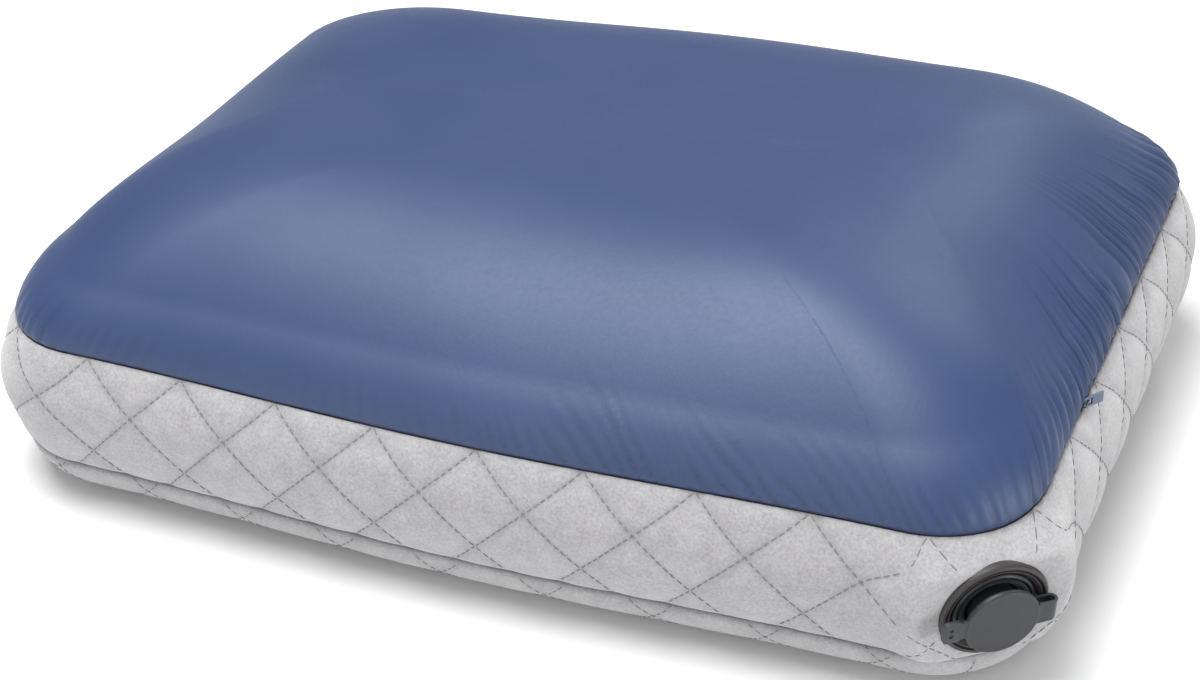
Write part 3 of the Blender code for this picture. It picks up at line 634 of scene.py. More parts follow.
@dataclass(frozen=True)
class Outline:
    """A rounded rectangle seen from above, walked from the start of its front right corner, leftwards."""

    corner_steps: int = 54
    long_steps: int = 216
    short_steps: int = 150

    def corner(self, centre: Sequence[float], radius: float, start: float) -> np.ndarray:
        """Walk a quarter circle.

        Args:
            centre: Its centre.
            radius: Its radius.
            start: The angle that it starts from.

        Returns:
            Its points, without its end.
        """
        angles = start + math.pi / 2 * np.arange(self.corner_steps) / self.corner_steps
        return np.array(centre) + radius * np.stack([np.cos(angles), np.sin(angles)], 1)

    @staticmethod
    def side(start: Sequence[float], end: Sequence[float], bow: float, steps: int) -> np.ndarray:
        """Walk a side.

        Args:
            start: Where it starts.
            end: Where it ends.
            bow: How far its middle swells out.
            steps: How many points it has.

        Returns:
            Its points, without its end.
        """
        start, end = np.array(start), np.array(end)
        along = np.arange(steps) / steps
        run = (end - start) / np.linalg.norm(end - start)
        outward = np.array([run[1], -run[0]])
        swell = bow * np.sin(math.pi * along) ** 2
        return start + np.outer(along, end - start) + np.outer(swell, outward)

    def walk(self, half_x: float, half_y: float, radius: float, bow: float) -> np.ndarray:
        """Walk once round the outline.

        Args:
            half_x: Half its length.
            half_y: Half its depth, without the bow.
            radius: The radius of its corners.
            bow: How far its long sides swell out.

        Returns:
            Its points.
        """
        x, y = half_x - radius, half_y - radius
        return np.concatenate(
            [
                self.corner((x, -y), radius, -math.pi / 2),
                self.side((half_x, -y), (half_x, y), 0, self.short_steps),
                self.corner((x, y), radius, 0),
                self.side((x, half_y), (-x, half_y), bow, self.long_steps),
                self.corner((-x, y), radius, math.pi / 2),
                self.side((-half_x, y), (-half_x, -y), 0, self.short_steps),
                self.corner((-x, -y), radius, math.pi),
                self.side((-x, -half_y), (x, -half_y), bow, self.long_steps),
            ]
        )

    def stations(self) -> np.ndarray:
        """Number the places round the outline.

        Returns:
            Each point's station: 0 to 1 along the first corner, 1 to 2 along the right side and so on.
        """
        steps = [self.corner_steps, self.short_steps, self.corner_steps, self.long_steps] * 2
        return np.concatenate([i + np.arange(count) / count for i, count in enumerate(steps)])


@dataclass(frozen=True)
class Dip:
    """A place where the pillow's top lies lower, or higher where its depth is negative."""

    x: float
    y: float
    depth: float
    reach_x: float
    reach_y: float


@dataclass(frozen=True)
class PillowForm:
    """The cover's outside: its sizes, its seams and how its top has settled."""

    seam_inset: float = 9.5 * MM
    bottom_seam_inset: float = 6 * MM
    floor_inset: float = 34 * MM
    corner_radius: float = 50 * MM
    long_side_bow: float = 5 * MM
    crown_width: float = 92 * MM
    crown_roundness: float = 0.9
    crown_fullness: float = 2.1
    crown_flatness: float = 0.7
    front_sag: tuple[float, float] = (3 * MM, 4 * MM)
    sag_reach: float = 26 * MM
    slack_front: tuple[float, float] = (0.085, 0.14)
    slack_left: tuple[float, float] = (0.12, 0.19)
    slack_back: tuple[float, float] = (0.12, 0.15)
    settling: float = 0.8
    outline: Outline = field(default_factory=Outline)
    dips: tuple[Dip, ...] = (
        Dip(-0.02, 0.01, 2.5 * MM, 0.1, 0.06),
        Dip(-0.17, -0.01, 7 * MM, 0.06, 0.065),
        Dip(0.18, -0.06, 5 * MM, 0.04, 0.04),
        Dip(0.15, 0.04, -2.5 * MM, 0.03, 0.06),
        Dip(-0.12, 0.135, 10.5 * MM, 0.115, 0.06),
        Dip(-0.19, 0.07, 4 * MM, 0.05, 0.06),
        Dip(0.195, 0.13, 5 * MM, 0.04, 0.05),
        Dip(-0.17, -0.13, 4 * MM, 0.06, 0.05),
        Dip(0.1, -0.1, -3 * MM, 0.06, 0.035),
        Dip(0.165, -0.122, -3 * MM, 0.04, 0.035),
    )

    @property
    def half_x(self) -> float:
        """Half the pillow's length, from the frame's top panel."""
        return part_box("top_panel")[1].x + self.seam_inset

    @property
    def half_y(self) -> float:
        """Half the pillow's depth, from the frame's top panel."""
        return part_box("top_panel")[1].y + self.seam_inset

    @property
    def height(self) -> float:
        """Height of the middle of the top."""
        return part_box("top_panel")[1].z

    @property
    def seam_height(self) -> float:
        """Height of the seam round the top."""
        return (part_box("top_panel")[0].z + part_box("side_band")[1].z) / 2

    @property
    def bottom_seam_height(self) -> float:
        """Height of the seam round the bottom."""
        return (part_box("bottom_panel")[1].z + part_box("side_band")[0].z) / 2

    def ring(self, inset: float, height: float, across: float = 0.0) -> np.ndarray:
        """Walk once round the cover's outside.

        Args:
            inset: How far the line lies in from the pillow's widest line.
            height: Its height.
            across: How far across the crown it is, from the seam at 0 to the level middle at 1.

        Returns:
            Its points.
        """
        half_x = self.half_x - inset
        half_y = self.half_y - self.long_side_bow - inset
        radius = self.corner_radius - inset
        if across > 0:
            radius = self.corner_radius - self.seam_inset
        middle = self.half_y - self.long_side_bow - self.seam_inset - self.crown_width
        radius += (self.crown_roundness * middle - radius) * across
        flat = self.outline.walk(half_x, half_y, radius, self.long_side_bow * (1 - across))
        return np.column_stack([flat, np.full(len(flat), height)])

    def crown(self, across: np.ndarray) -> tuple[np.ndarray, np.ndarray]:
        """Work out the crown's profile.

        Args:
            across: Shares of the way across it, from the seam.

        Returns:
            Inset and height there.
        """
        rise = (1 - (1 - across) ** self.crown_fullness) ** self.crown_flatness
        inset = self.seam_inset + self.crown_width * across
        return inset, self.seam_height + (self.height - self.seam_height) * rise

    def band(self, up: np.ndarray) -> tuple[np.ndarray, np.ndarray]:
        """Work out the side's profile.

        Args:
            up: Shares of the way up it, from the bottom seam.

        Returns:
            Inset and height there.
        """
        swell = (self.bottom_seam_inset + self.seam_inset) / 2
        inset = self.bottom_seam_inset + (self.seam_inset - self.bottom_seam_inset) * up
        height = self.bottom_seam_height + (self.seam_height - self.bottom_seam_height) * up
        return inset - swell * 4 * up * (1 - up), height

    def sag(self, points: np.ndarray) -> np.ndarray:
        """Let the seam round the top hang out and down, but beside the zip.

        Args:
            points: Points of any layer, one to a row or in a grid of rows.

        Returns:
            The points moved, most at the seam's own height.
        """
        x, y, z = points[..., 0], points[..., 1], points[..., 2]
        front = smooth_step(-y, *self.slack_front)
        behind = np.maximum(smooth_step(-x, *self.slack_left), smooth_step(y, *self.slack_back))
        slack = np.maximum(front, behind)
        near = np.exp(-(((z - self.seam_height) / self.sag_reach) ** 2))
        moved = points.copy()
        moved[..., 1] -= self.front_sag[0] * front * near
        moved[..., 2] -= self.front_sag[1] * slack * near
        return moved

    def settle(self, points: np.ndarray) -> np.ndarray:
        """Lower the top where the pillow has settled.

        Args:
            points: Points of any layer, one to a row or in a grid of rows.

        Returns:
            The points moved straight down, in proportion to their height over the seam.
        """
        rise = np.clip((points[..., 2] - self.seam_height) / (self.height - self.seam_height), 0, 1)
        drop = np.zeros_like(rise)
        for dip in self.dips:
            away_x, away_y = (points[..., 0] - dip.x) / dip.reach_x, (points[..., 1] - dip.y) / dip.reach_y
            drop += dip.depth * np.exp(-(away_x**2 + away_y**2))
        moved = points.copy()
        moved[..., 2] -= drop * rise**self.settling
        return self.sag(moved)


class ClothGrid:
    """A cover panel as rows of points, each row running once round the pillow."""

    def __init__(self, points: np.ndarray, flat: np.ndarray) -> None:
        """Keep the rows.

        Args:
            points: Rows by columns of x, y, z.
            flat: Rows by columns of the same places on the cloth laid flat.
        """
        self.points = points
        self.flat = flat

    def normals(self) -> np.ndarray:
        """Work out the panel's normals.

        Returns:
            The unit normal at each point, which points out of the top and the band.
        """
        around = np.roll(self.points, -1, 1) - np.roll(self.points, 1, 1)
        along = np.gradient(self.points, axis=0)
        normal = np.cross(around, along)
        return normal / np.maximum(np.linalg.norm(normal, axis=2, keepdims=True), 1e-12)

    def push(self, height: np.ndarray) -> None:
        """Move each point along its normal."""
        self.points = self.points + self.normals() * height[..., None]

    def faces(self, keep: Callable[[np.ndarray], np.ndarray] | None = None) -> list[tuple[int, ...]]:
        """List the grid's four-sided faces.

        Args:
            keep: Which places keep their faces, or None for all.

        Returns:
            The point numbers of each face.
        """
        rows, columns = self.points.shape[:2]
        low = np.arange(rows - 1)[:, None] * columns + np.arange(columns)
        beside = np.arange(rows - 1)[:, None] * columns + (np.arange(columns) + 1) % columns
        quads = np.stack([low, beside, beside + columns, low + columns], -1).reshape(-1, 4)
        if keep is not None:
            quads = quads[keep(self.points.reshape(-1, 3)[quads].mean(1))]
        return quads.tolist()

    def to_piece(
        self,
        name: str,
        crease_shade: np.ndarray,
        closed: bool,
        keep: Callable[[np.ndarray], np.ndarray] | None = None,
    ) -> bpy.types.Object:
        """Make the panel's object.

        Args:
            name: The piece's name.
            crease_shade: How much shade is painted at each point, from 0 to 1, most in creases and hollows.
            closed: Whether its last row is joined at a middle point.
            keep: Which places keep their faces, or None for all.

        Returns:
            The piece.
        """
        points = self.points.reshape(-1, 3)
        flat = self.flat.reshape(-1, 2)
        crease_shade = crease_shade.reshape(-1)
        faces = self.faces(keep)
        if closed:
            columns = self.points.shape[1]
            start = len(points) - columns
            faces += [(start + j, start + (j + 1) % columns, len(points)) for j in range(columns)]
            points = np.vstack([points, points[start:].mean(0)])
            flat = np.vstack([flat, flat[start:].mean(0)])
            crease_shade = np.append(crease_shade, 0.0)
        piece = add_piece(name, points, faces)
        for key, values in (("crease_shade", crease_shade), ("around", flat[:, 0]), ("along", flat[:, 1])):
            measure = piece.data.attributes.new(key, "FLOAT", "POINT")
            measure.data.foreach_set("value", values.astype(np.float32))
        return piece


class Sewing:
    """Lays stitches on a panel, from places on its cloth laid flat."""

    def __init__(self, grid: ClothGrid, whole: float = 0.0) -> None:
        """Make the flat cloth's faces.

        Args:
            grid: The panel.
            whole: The length once round, where the flat cloth is a long strip, or 0 where it closes.
        """
        points, flat = grid.points, grid.flat
        normals = grid.normals()
        points = np.concatenate([points, points[:, :1]], 1)
        normals = np.concatenate([normals, normals[:, :1]], 1)
        flat = np.concatenate([flat, flat[:, :1] + np.array([whole, 0])], 1)
        rows, columns = flat.shape[:2]
        corner = np.arange(rows - 1)[:, None] * columns + np.arange(columns - 1)
        low = np.stack([corner, corner + 1, corner + columns + 1], -1).reshape(-1, 3)
        high = np.stack([corner, corner + columns + 1, corner + columns], -1).reshape(-1, 3)
        self.triangles = np.concatenate([low, high])
        self.points = points.reshape(-1, 3)
        self.normals = normals.reshape(-1, 3)
        self.flat = np.column_stack([flat.reshape(-1, 2), np.zeros(rows * columns)])
        self.tree = BVHTree.FromPolygons(self.flat.tolist(), self.triangles.tolist())

    def lift(self, x: float, y: float) -> tuple[Vector, Vector] | None:
        """Find a flat place on the shaped panel.

        Args:
            x: The place along the flat cloth.
            y: The place across it.

        Returns:
            The point and its outward normal, or None off the cloth.
        """
        hit, _, index, _ = self.tree.ray_cast(Vector((x, y, 1)), Vector((0, 0, -1)))
        if hit is None:
            return None
        corners = self.triangles[index]
        flat = [Vector(self.flat[i]) for i in corners]
        point = barycentric_transform(hit, *flat, *(Vector(self.points[i]) for i in corners))
        normal = barycentric_transform(hit, *flat, *(Vector(self.normals[i]) for i in corners))
        return point, normal.normalized()


Stitch = list[tuple[Vector, Vector]]


@dataclass(frozen=True)
class StitchLine:
    """Sewing thread and the way it is laid.

    Each bend of a stitch has its share of the way along, and its lift and swell in thread radii.
    """

    length: float = 2.9 * MM
    gap: float = 0.6 * MM
    radius: float = 0.19 * MM
    sides: int = 5
    bends: tuple[Place, ...] = (
        (0, -0.9, 0.6),
        (0.18, 0.35, 1.0),
        (0.5, 0.75, 1.1),
        (0.82, 0.35, 1.0),
        (1, -0.9, 0.6),
    )

    def stitches(self, sewing: Sewing, start: np.ndarray, end: np.ndarray) -> Iterator[Stitch]:
        """Walk a straight line on the flat cloth.

        Args:
            sewing: The panel.
            start: The line's start on the flat cloth.
            end: Its end.

        Yields:
            The lifted start, middle and end of each stitch that lies on the cloth.
        """
        run = end - start
        pitch = self.length + self.gap
        count = max(int(np.linalg.norm(run) / pitch), 1)
        share = self.length / pitch
        for i in range(count):
            places = [start + run * (i + part * share) / count for part in (0, 0.5, 1)]
            lifted = [sewing.lift(*place) for place in places]
            if all(lifted):
                yield lifted

    def tube(self, lifted: Stitch) -> np.ndarray:
        """Shape one stitch, which dives into the cloth at both ends.

        Args:
            lifted: Its lifted start, middle and end.

        Returns:
            Rings of points round it.
        """
        (start, _), (middle, normal), (end, _) = lifted
        run = (end - start).normalized()
        aside = normal.cross(run).normalized()
        rings = []
        for share, lift, swell in self.bends:
            bend = start.lerp(end, share) if share != 0.5 else middle
            centre = bend + normal * self.radius * lift
            for side in range(self.sides):
                angle = math.tau * side / self.sides
                spoke = aside * math.cos(angle) + normal * math.sin(angle)
                rings.append(centre + spoke * self.radius * swell)
        return np.array(rings)

    def sew(self, name: str, stitches: Sequence[Stitch]) -> bpy.types.Object:
        """Make one piece of all the stitches.

        Args:
            name: The piece's name.
            stitches: Each stitch's lifted start, middle and end.

        Returns:
            The piece.
        """
        tubes = [self.tube(lifted) for lifted in stitches]
        rings, sides = len(tubes[0]) // self.sides, self.sides
        faces = [tuple(range(sides))[::-1], tuple(range((rings - 1) * sides, rings * sides))]
        faces += ring_faces(rings, sides)
        size = rings * sides
        every = [tuple(i * size + j for j in face) for i in range(len(tubes)) for face in faces]
        piece = add_piece(name, np.concatenate(tubes), every)
        face_outwards(piece)
        return piece


@dataclass(frozen=True)
class DiamondQuilting:
    """Lines of stitches both ways across the cloth, and the puffs between them."""

    width: float
    height: float
    start: float = 0.0
    puff: float = 1.5 * MM
    softness: float = 4.2 * MM

    def phases(self, flat: np.ndarray) -> tuple[np.ndarray, np.ndarray]:
        """Count the lines of stitches.

        Args:
            flat: Flat places.

        Returns:
            How many lines of each kind lie before each place.
        """
        along = (flat[..., 0] - self.start) / self.width
        across = flat[..., 1] / self.height
        return along + across, along - across

    def hollows(self, flat: np.ndarray) -> np.ndarray:
        """Work out how far the cloth is held down.

        Args:
            flat: Flat places.

        Returns:
            1 on the lines of stitches, falling to 0 in the middle of each diamond.
        """
        spacing = self.width * self.height / math.hypot(self.width, self.height)
        fullness = np.ones(flat.shape[:-1])
        for phase in self.phases(flat):
            away = np.abs(phase - np.round(phase)) * spacing
            fullness = fullness * (1 - np.exp(-away / self.softness))
        return 1 - fullness / (1 - math.exp(-spacing / 2 / self.softness)) ** 2

    def lines(self, low: Sequence[float], high: Sequence[float]) -> Iterator[tuple[np.ndarray, np.ndarray]]:
        """Walk every line that crosses a box on the flat cloth.

        Args:
            low: The box's low corner.
            high: Its high corner.

        Yields:
            Each line's start and end, at the box's low and high edges.
        """
        for side in (1, -1):
            lifts = [side * y / self.height for y in (low[1], high[1])]
            ends = [(x - self.start) / self.width + lift for x in (low[0], high[0]) for lift in lifts]
            for number in range(math.floor(min(ends)), math.ceil(max(ends)) + 1):
                start, end = (
                    np.array([self.start + self.width * (number - lift), y])
                    for lift, y in zip(lifts, (low[1], high[1]))
                )
                yield start, end


# ---------------------------------------------------------------- cover


@dataclass(frozen=True)
class GatherKey:
    """How the top is gathered at one station round its seam: how high, how far in and leaning how much."""

    station: float
    height: float
    reach: float
    lean: float = 0.0


@dataclass(frozen=True)
class FoldLayer:
    """Folds of one spacing, with their shares of the gathers' height and reach, and their draws' seed."""

    spacing: float
    size: float
    extent: float
    seed: int


@dataclass
class TopCover:
    """The smooth nylon top, gathered into its seam."""

    form: PillowForm
    thickness: float = 0.5 * MM
    rows: int = 46
    first_row: float = 1.1 * MM
    overhang: float = 1.6 * MM
    overhang_reach: float = 26 * MM
    tuck_depth: float = 0.9 * MM
    tuck_reach: float = 1.8 * MM
    seam_shade: float = 0.35
    seam_shade_reach: float = 1.6 * MM
    level_share: float = 0.96
    profile_steps: int = 400
    fold_draws: int = 4096
    # Gather height at which the shade painted between the folds is full.
    full_shade_height: float = 1.3 * MM
    layers: tuple[FoldLayer, ...] = (FoldLayer(6.4 * MM, 1.0, 1.0, 11), FoldLayer(3.4 * MM, 0.5, 0.45, 47))
    slot_front: float = -66 * MM
    slot_back: float = 108 * MM
    slot_fade: float = 5 * MM
    slot_reach: float = 14 * MM
    slot_lift: float = 1.4 * MM
    gathers: tuple[GatherKey, ...] = (
        GatherKey(0.0, 0.9 * MM, 13 * MM, 0.5),
        GatherKey(0.6, 0.8 * MM, 13 * MM, 0.2),
        GatherKey(1.0, 1.9 * MM, 18 * MM),
        GatherKey(1.35, 3.3 * MM, 26 * MM),
        GatherKey(1.7, 3.5 * MM, 28 * MM),
        GatherKey(2.1, 2.4 * MM, 22 * MM),
        GatherKey(3.0, 0.9 * MM, 15 * MM),
        GatherKey(5.0, 0.9 * MM, 14 * MM),
        GatherKey(6.4, 0.9 * MM, 12 * MM),
        GatherKey(7.0, 0.9 * MM, 10 * MM),
        GatherKey(7.2, 0.35 * MM, 7 * MM),
        GatherKey(7.4, 0.5 * MM, 9 * MM, 0.5),
        GatherKey(7.6, 1.0 * MM, 15 * MM, 0.8),
        GatherKey(7.9, 1.1 * MM, 15 * MM, 0.8),
        GatherKey(8.0, 0.9 * MM, 13 * MM, 0.5),
    )
    whole: float = field(init=False, default=0.0)

    def row_distances(self) -> np.ndarray:
        """Space the rows, close together near the seam.

        Returns:
            Each row's distance from the seam over the cover.
        """
        step = np.arange(self.rows) / (self.rows - 1)
        last = self.reach_to_middle() - self.first_row * (self.rows - 1)
        return self.first_row * (self.rows - 1) * step + last * step**3

    def profile(self) -> tuple[np.ndarray, np.ndarray, np.ndarray, np.ndarray]:
        """Measure the crown's profile.

        Returns:
            Shares of the way across it, and the inset, height and distance over the cover there.
        """
        across = np.linspace(0, 1, self.profile_steps) ** 2
        inset, height = self.form.crown(across)
        steps = np.hypot(np.diff(inset), np.diff(height))
        return across, inset, height, np.concatenate([[0], np.cumsum(steps)])

    def reach_to_middle(self) -> float:
        """Return the distance over the cover from the seam to the last row, just short of the middle."""
        _, inset, _, distance = self.profile()
        return distance[-1] + self.level_share * (self.form.half_y - inset[-1])

    def shape(self) -> ClothGrid:
        """Shape the panel before it is gathered.

        Returns:
            The panel, from its seam to the middle.
        """
        across, inset, height, distance = self.profile()
        level = self.form.half_y - inset[-1]
        rows = []
        for reach in self.row_distances():
            if reach <= distance[-1]:
                share = float(np.interp(reach, distance, across))
                edge, rise = self.form.crown(np.array([share]))
                rows.append(self.form.ring(float(edge[0]), float(rise[0]), max(share, 1e-6)))
            else:
                shrink = 1 - (reach - distance[-1]) / level
                ring = self.form.ring(float(inset[-1]), float(height[-1]), 1.0)
                ring[:, :2] *= shrink
                rows.append(ring)
        points = self.form.settle(np.array(rows))
        around, self.whole = distances_round(points[0])
        flat = np.stack(np.broadcast_arrays(around[None, :], self.row_distances()[:, None]), -1)
        return ClothGrid(points, flat)

    def slot(self, points: np.ndarray) -> np.ndarray:
        """Find the zip's opening in the right-hand seam.

        Args:
            points: Points of the top or the band.

        Returns:
            1 along the opening and 0 away from it.
        """
        y = points[..., 1]
        along = smooth_step(y, self.slot_front - self.slot_fade, self.slot_front + MM)
        along *= 1 - smooth_step(y, self.slot_back - MM, self.slot_back + self.slot_fade)
        return along * (points[..., 0] > self.form.half_x * 0.85)

    def folds(self, grid: ClothGrid) -> tuple[np.ndarray, np.ndarray]:
        """Work out the gathers.

        Args:
            grid: The panel.

        Returns:
            How far each point is pushed out, and how much shade is painted there, most between the folds.
        """
        stations = self.form.outline.stations()
        keys = [key.station for key in self.gathers]
        height = np.interp(stations, keys, [key.height for key in self.gathers])
        reach = np.interp(stations, keys, [key.reach for key in self.gathers])
        lean = np.interp(stations, keys, [key.lean for key in self.gathers])
        around, along = grid.flat[..., 0], grid.flat[..., 1]
        push = np.zeros(along.shape)
        crease_shade = np.zeros(along.shape)
        for layer in self.layers:
            drift = wander(around, 5.3 * layer.spacing, self.whole, layer.seed) * 1.1
            spread = wander(around, 1.7 * layer.spacing, self.whole, layer.seed + 1) * 0.32
            phase = (around + lean * along) / layer.spacing + drift + spread * (1 - 0.25 * along / 0.04)
            number = np.floor(phase)
            sizes = 0.45 + 0.75 * np.random.default_rng(layer.seed + 2).random(self.fold_draws)
            lengths = 0.55 + 0.9 * np.random.default_rng(layer.seed + 3).random(self.fold_draws)
            index = number.astype(int) % self.fold_draws
            following = (index + 1) % self.fold_draws
            within = phase - number
            amount = sizes[index] * (1 - within) + sizes[following] * within
            stretch = lengths[index] * (1 - within) + lengths[following] * within
            ridge = np.abs(np.sin(math.pi * phase)) ** 0.75
            fade = np.exp(-((along / (reach * layer.extent * stretch)) ** 2.4))
            fade = fade * smooth_step(along, 0, 2.5 * MM)
            push += height * layer.size * amount * (ridge - 0.6) * fade
            strength = np.clip(height / self.full_shade_height, 0, 2.6) * layer.size
            # Painted shade: darker in the valleys between the folds, the more so where the gathers stand
            # taller.
            crease_shade += (1 - ridge) ** 1.1 * fade * amount * strength
        return push, crease_shade

    def build(self) -> bpy.types.Object:
        """Make the top, tucked under at its seam and lifted along the zip.

        Returns:
            The piece.
        """
        grid = self.shape()
        along = grid.flat[..., 1]
        bulge = self.overhang * np.sin(math.pi * np.clip(along / self.overhang_reach, 0, 1)) ** 1.2
        tuck = -self.tuck_depth * (1 - np.clip(along / self.tuck_reach, 0, 1)) ** 2
        push, crease_shade = self.folds(grid)
        grid.push(bulge + push + tuck)
        opening = self.slot(grid.points) * (1 - smooth_step(along, 0, self.slot_reach))
        grid.points[..., 2] += self.slot_lift * opening
        crease_shade += self.seam_shade * np.exp(-along / self.seam_shade_reach)
        piece = grid.to_piece("top_cover", crease_shade, True)
        thicken(piece, self.thickness)
        NYLON.dress(piece)
        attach(piece, "pillow")
        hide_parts("top_panel")
        depth = 2 * self.reach_to_middle()
        width = depth + 2 * (self.form.half_x - self.form.half_y)
        return piece


@dataclass(frozen=True)
class PortPatch:
    """The cloth round the valve, pulled flat to the port ring."""

    matrix: Matrix
    radius: float
    level: float = -0.35 * MM
    flat_to: float = 27 * MM
    free_from: float = 44 * MM
    depth: float = 0.03
    lap: float = 2.2 * MM
    stitch_clearance: float = 3 * MM

    def inside(self, points: np.ndarray) -> np.ndarray:
        """Return the points in the valve's own frame."""
        inverse = np.array(self.matrix.inverted())
        return points @ inverse[:3, :3].T + inverse[:3, 3]

    def share(self, points: np.ndarray) -> np.ndarray:
        """Work out how firmly the ring holds the cloth.

        Args:
            points: Points of the cloth.

        Returns:
            1 beside the ring, falling to 0 where the cloth is free.
        """
        local = self.inside(points)
        away = np.hypot(local[..., 0], local[..., 1])
        near = 1 - smooth_step(away, self.flat_to, self.free_from)
        return near * (np.abs(local[..., 2]) < self.depth)

    def pull(self, points: np.ndarray, share: np.ndarray) -> np.ndarray:
        """Draw the cloth to the ring's level.

        Args:
            points: Points of the cloth.
            share: How far each is drawn, from 0 to 1.

        Returns:
            The points moved.
        """
        local = self.inside(points)
        raised = local.copy()
        raised[..., 2] += (self.level - local[..., 2]) * share
        matrix = np.array(self.matrix)
        return raised @ matrix[:3, :3].T + matrix[:3, 3]

    def outside_hole(self, points: np.ndarray) -> np.ndarray:
        """Find the places outside the hole in the cloth, whose edge laps under the port ring.

        Args:
            points: The places.

        Returns:
            True for each that lies outside the hole.
        """
        local = self.inside(points)
        away = np.hypot(local[..., 0], local[..., 1])
        return (away > self.radius - self.lap) | (np.abs(local[..., 2]) > self.depth)

    def clear_of(self, point: Vector) -> bool:
        """Find whether a stitch lies clear of the ring.

        Args:
            point: The stitch's middle.

        Returns:
            Whether it does.
        """
        local = self.matrix.inverted() @ point
        clear = self.radius + self.stitch_clearance
        return math.hypot(local.x, local.y) > clear or abs(local.z) > self.depth


@dataclass
class SideBand:
    """The quilted band between the two seams, with the hole for the valve and the opening for the zip."""

    form: PillowForm
    top: TopCover
    patch: PortPatch
    thickness: float = 2.4 * MM
    rows: int = 44
    diamonds: int = 33
    diamond_height: float = 45 * MM
    first_diamond: float = 9 * MM
    edge_reach: float = 7 * MM
    tuck_depth: float = 1.3 * MM
    tuck_reach: float = 2.4 * MM
    top_tuck_share: float = 0.3
    pucker_spacing: float = 6 * MM
    pucker_height: float = 0.22 * MM
    seam_shade_reach: float = 2.2 * MM
    whole: float = field(init=False, default=0.0)
    reach: float = field(init=False, default=0.0)

    def shape(self) -> ClothGrid:
        """Shape the band before it is quilted.

        Returns:
            The band, whose flat cloth is measured down from the top seam.
        """
        up = np.linspace(0, 1, self.rows)
        inset, height = self.form.band(up)
        rows = [self.form.ring(float(a), float(b)) for a, b in zip(inset, height)]
        points = self.form.sag(np.array(rows))
        reach = np.concatenate([[0], np.cumsum(np.hypot(np.diff(inset), np.diff(height)))])
        around, self.whole = distances_round(self.form.ring(self.form.seam_inset, self.form.seam_height))
        self.reach = float(reach[-1])
        flat = np.stack(np.broadcast_arrays(around[None, :], (reach - reach[-1])[:, None]), -1)
        return ClothGrid(points, flat)

    @property
    def quilting(self) -> DiamondQuilting:
        """The band's diamonds, a whole number of them round the pillow."""
        return DiamondQuilting(self.whole / self.diamonds, self.diamond_height, self.first_diamond)

    def build(self) -> list[bpy.types.Object]:
        """Make the quilted band and its stitching.

        Returns:
            The pieces.
        """
        grid = self.shape()
        hollow = self.quilting.hollows(grid.flat)
        away_top, away_bottom = -grid.flat[..., 1], self.reach + grid.flat[..., 1]
        # Painted shade next to the bottom seam.
        seam = np.exp(-away_bottom / self.seam_shade_reach)
        free = 1 - self.patch.share(grid.points)
        edge = smooth_step(np.minimum(away_top, away_bottom), 0, self.edge_reach)
        slant = grid.flat[..., 0] + grid.flat[..., 1] * 0.6
        pucker = wander(slant, self.pucker_spacing, self.whole, 5) * self.pucker_height
        grid.push(self.quilting.puff * (0.6 - hollow) * free * (0.25 + 0.75 * edge) + pucker * hollow * free)
        tuck_top = (1 - np.clip(away_top / self.tuck_reach, 0, 1)) ** 2
        tuck_bottom = (1 - np.clip(away_bottom / self.tuck_reach, 0, 1)) ** 2
        grid.push(-self.tuck_depth * (self.top_tuck_share * tuck_top + tuck_bottom))
        opening = self.top.slot(grid.points) * (1 - smooth_step(away_top, 0, self.top.slot_reach))
        grid.points[..., 2] -= self.top.slot_lift * opening
        held = smooth_step(away_top, 0, 11 * MM) * smooth_step(away_bottom, 0, 4 * MM)
        grid.points = self.patch.pull(grid.points, self.patch.share(grid.points) ** 1.5 * held)
        # Painted shade: darker in the stitch hollows and next to the bottom seam.
        crease_shade = np.clip(hollow**4 * free * 0.75 + seam * 0.6, 0, 1)
        piece = grid.to_piece("quilted_band", crease_shade, False, self.patch.outside_hole)
        self.trim_hole(piece)
        thicken(piece, self.thickness)
        QUILT.dress(piece)
        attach(piece, "pillow")
        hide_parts("side_band")
        return [piece, self.stitch(grid)]

    def trim_hole(self, piece: bpy.types.Object) -> None:
        """Drop the points left loose in the hole.

        Args:
            piece: The band.
        """
        shape = bmesh.new()
        shape.from_mesh(piece.data)
        bmesh.ops.delete(shape, geom=[v for v in shape.verts if not v.link_faces], context="VERTS")
        shape.to_mesh(piece.data)
        shape.free()

    def stitch(self, grid: ClothGrid) -> bpy.types.Object:
        """Sew the band's diamonds, leaving out the valve's hole.

        Args:
            grid: The band.

        Returns:
            The stitching.
        """
        sewing, line = Sewing(grid, self.whole), StitchLine()
        stitches = []
        for start, end in self.quilting.lines((0, -self.reach), (self.whole, 0)):
            for lifted in line.stitches(sewing, start, end):
                if self.patch.clear_of(lifted[1][0]):
                    stitches.append(lifted)
        piece = line.sew("band_stitching", stitches)
        THREAD.dress(piece)
        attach(piece, "pillow")
        return piece


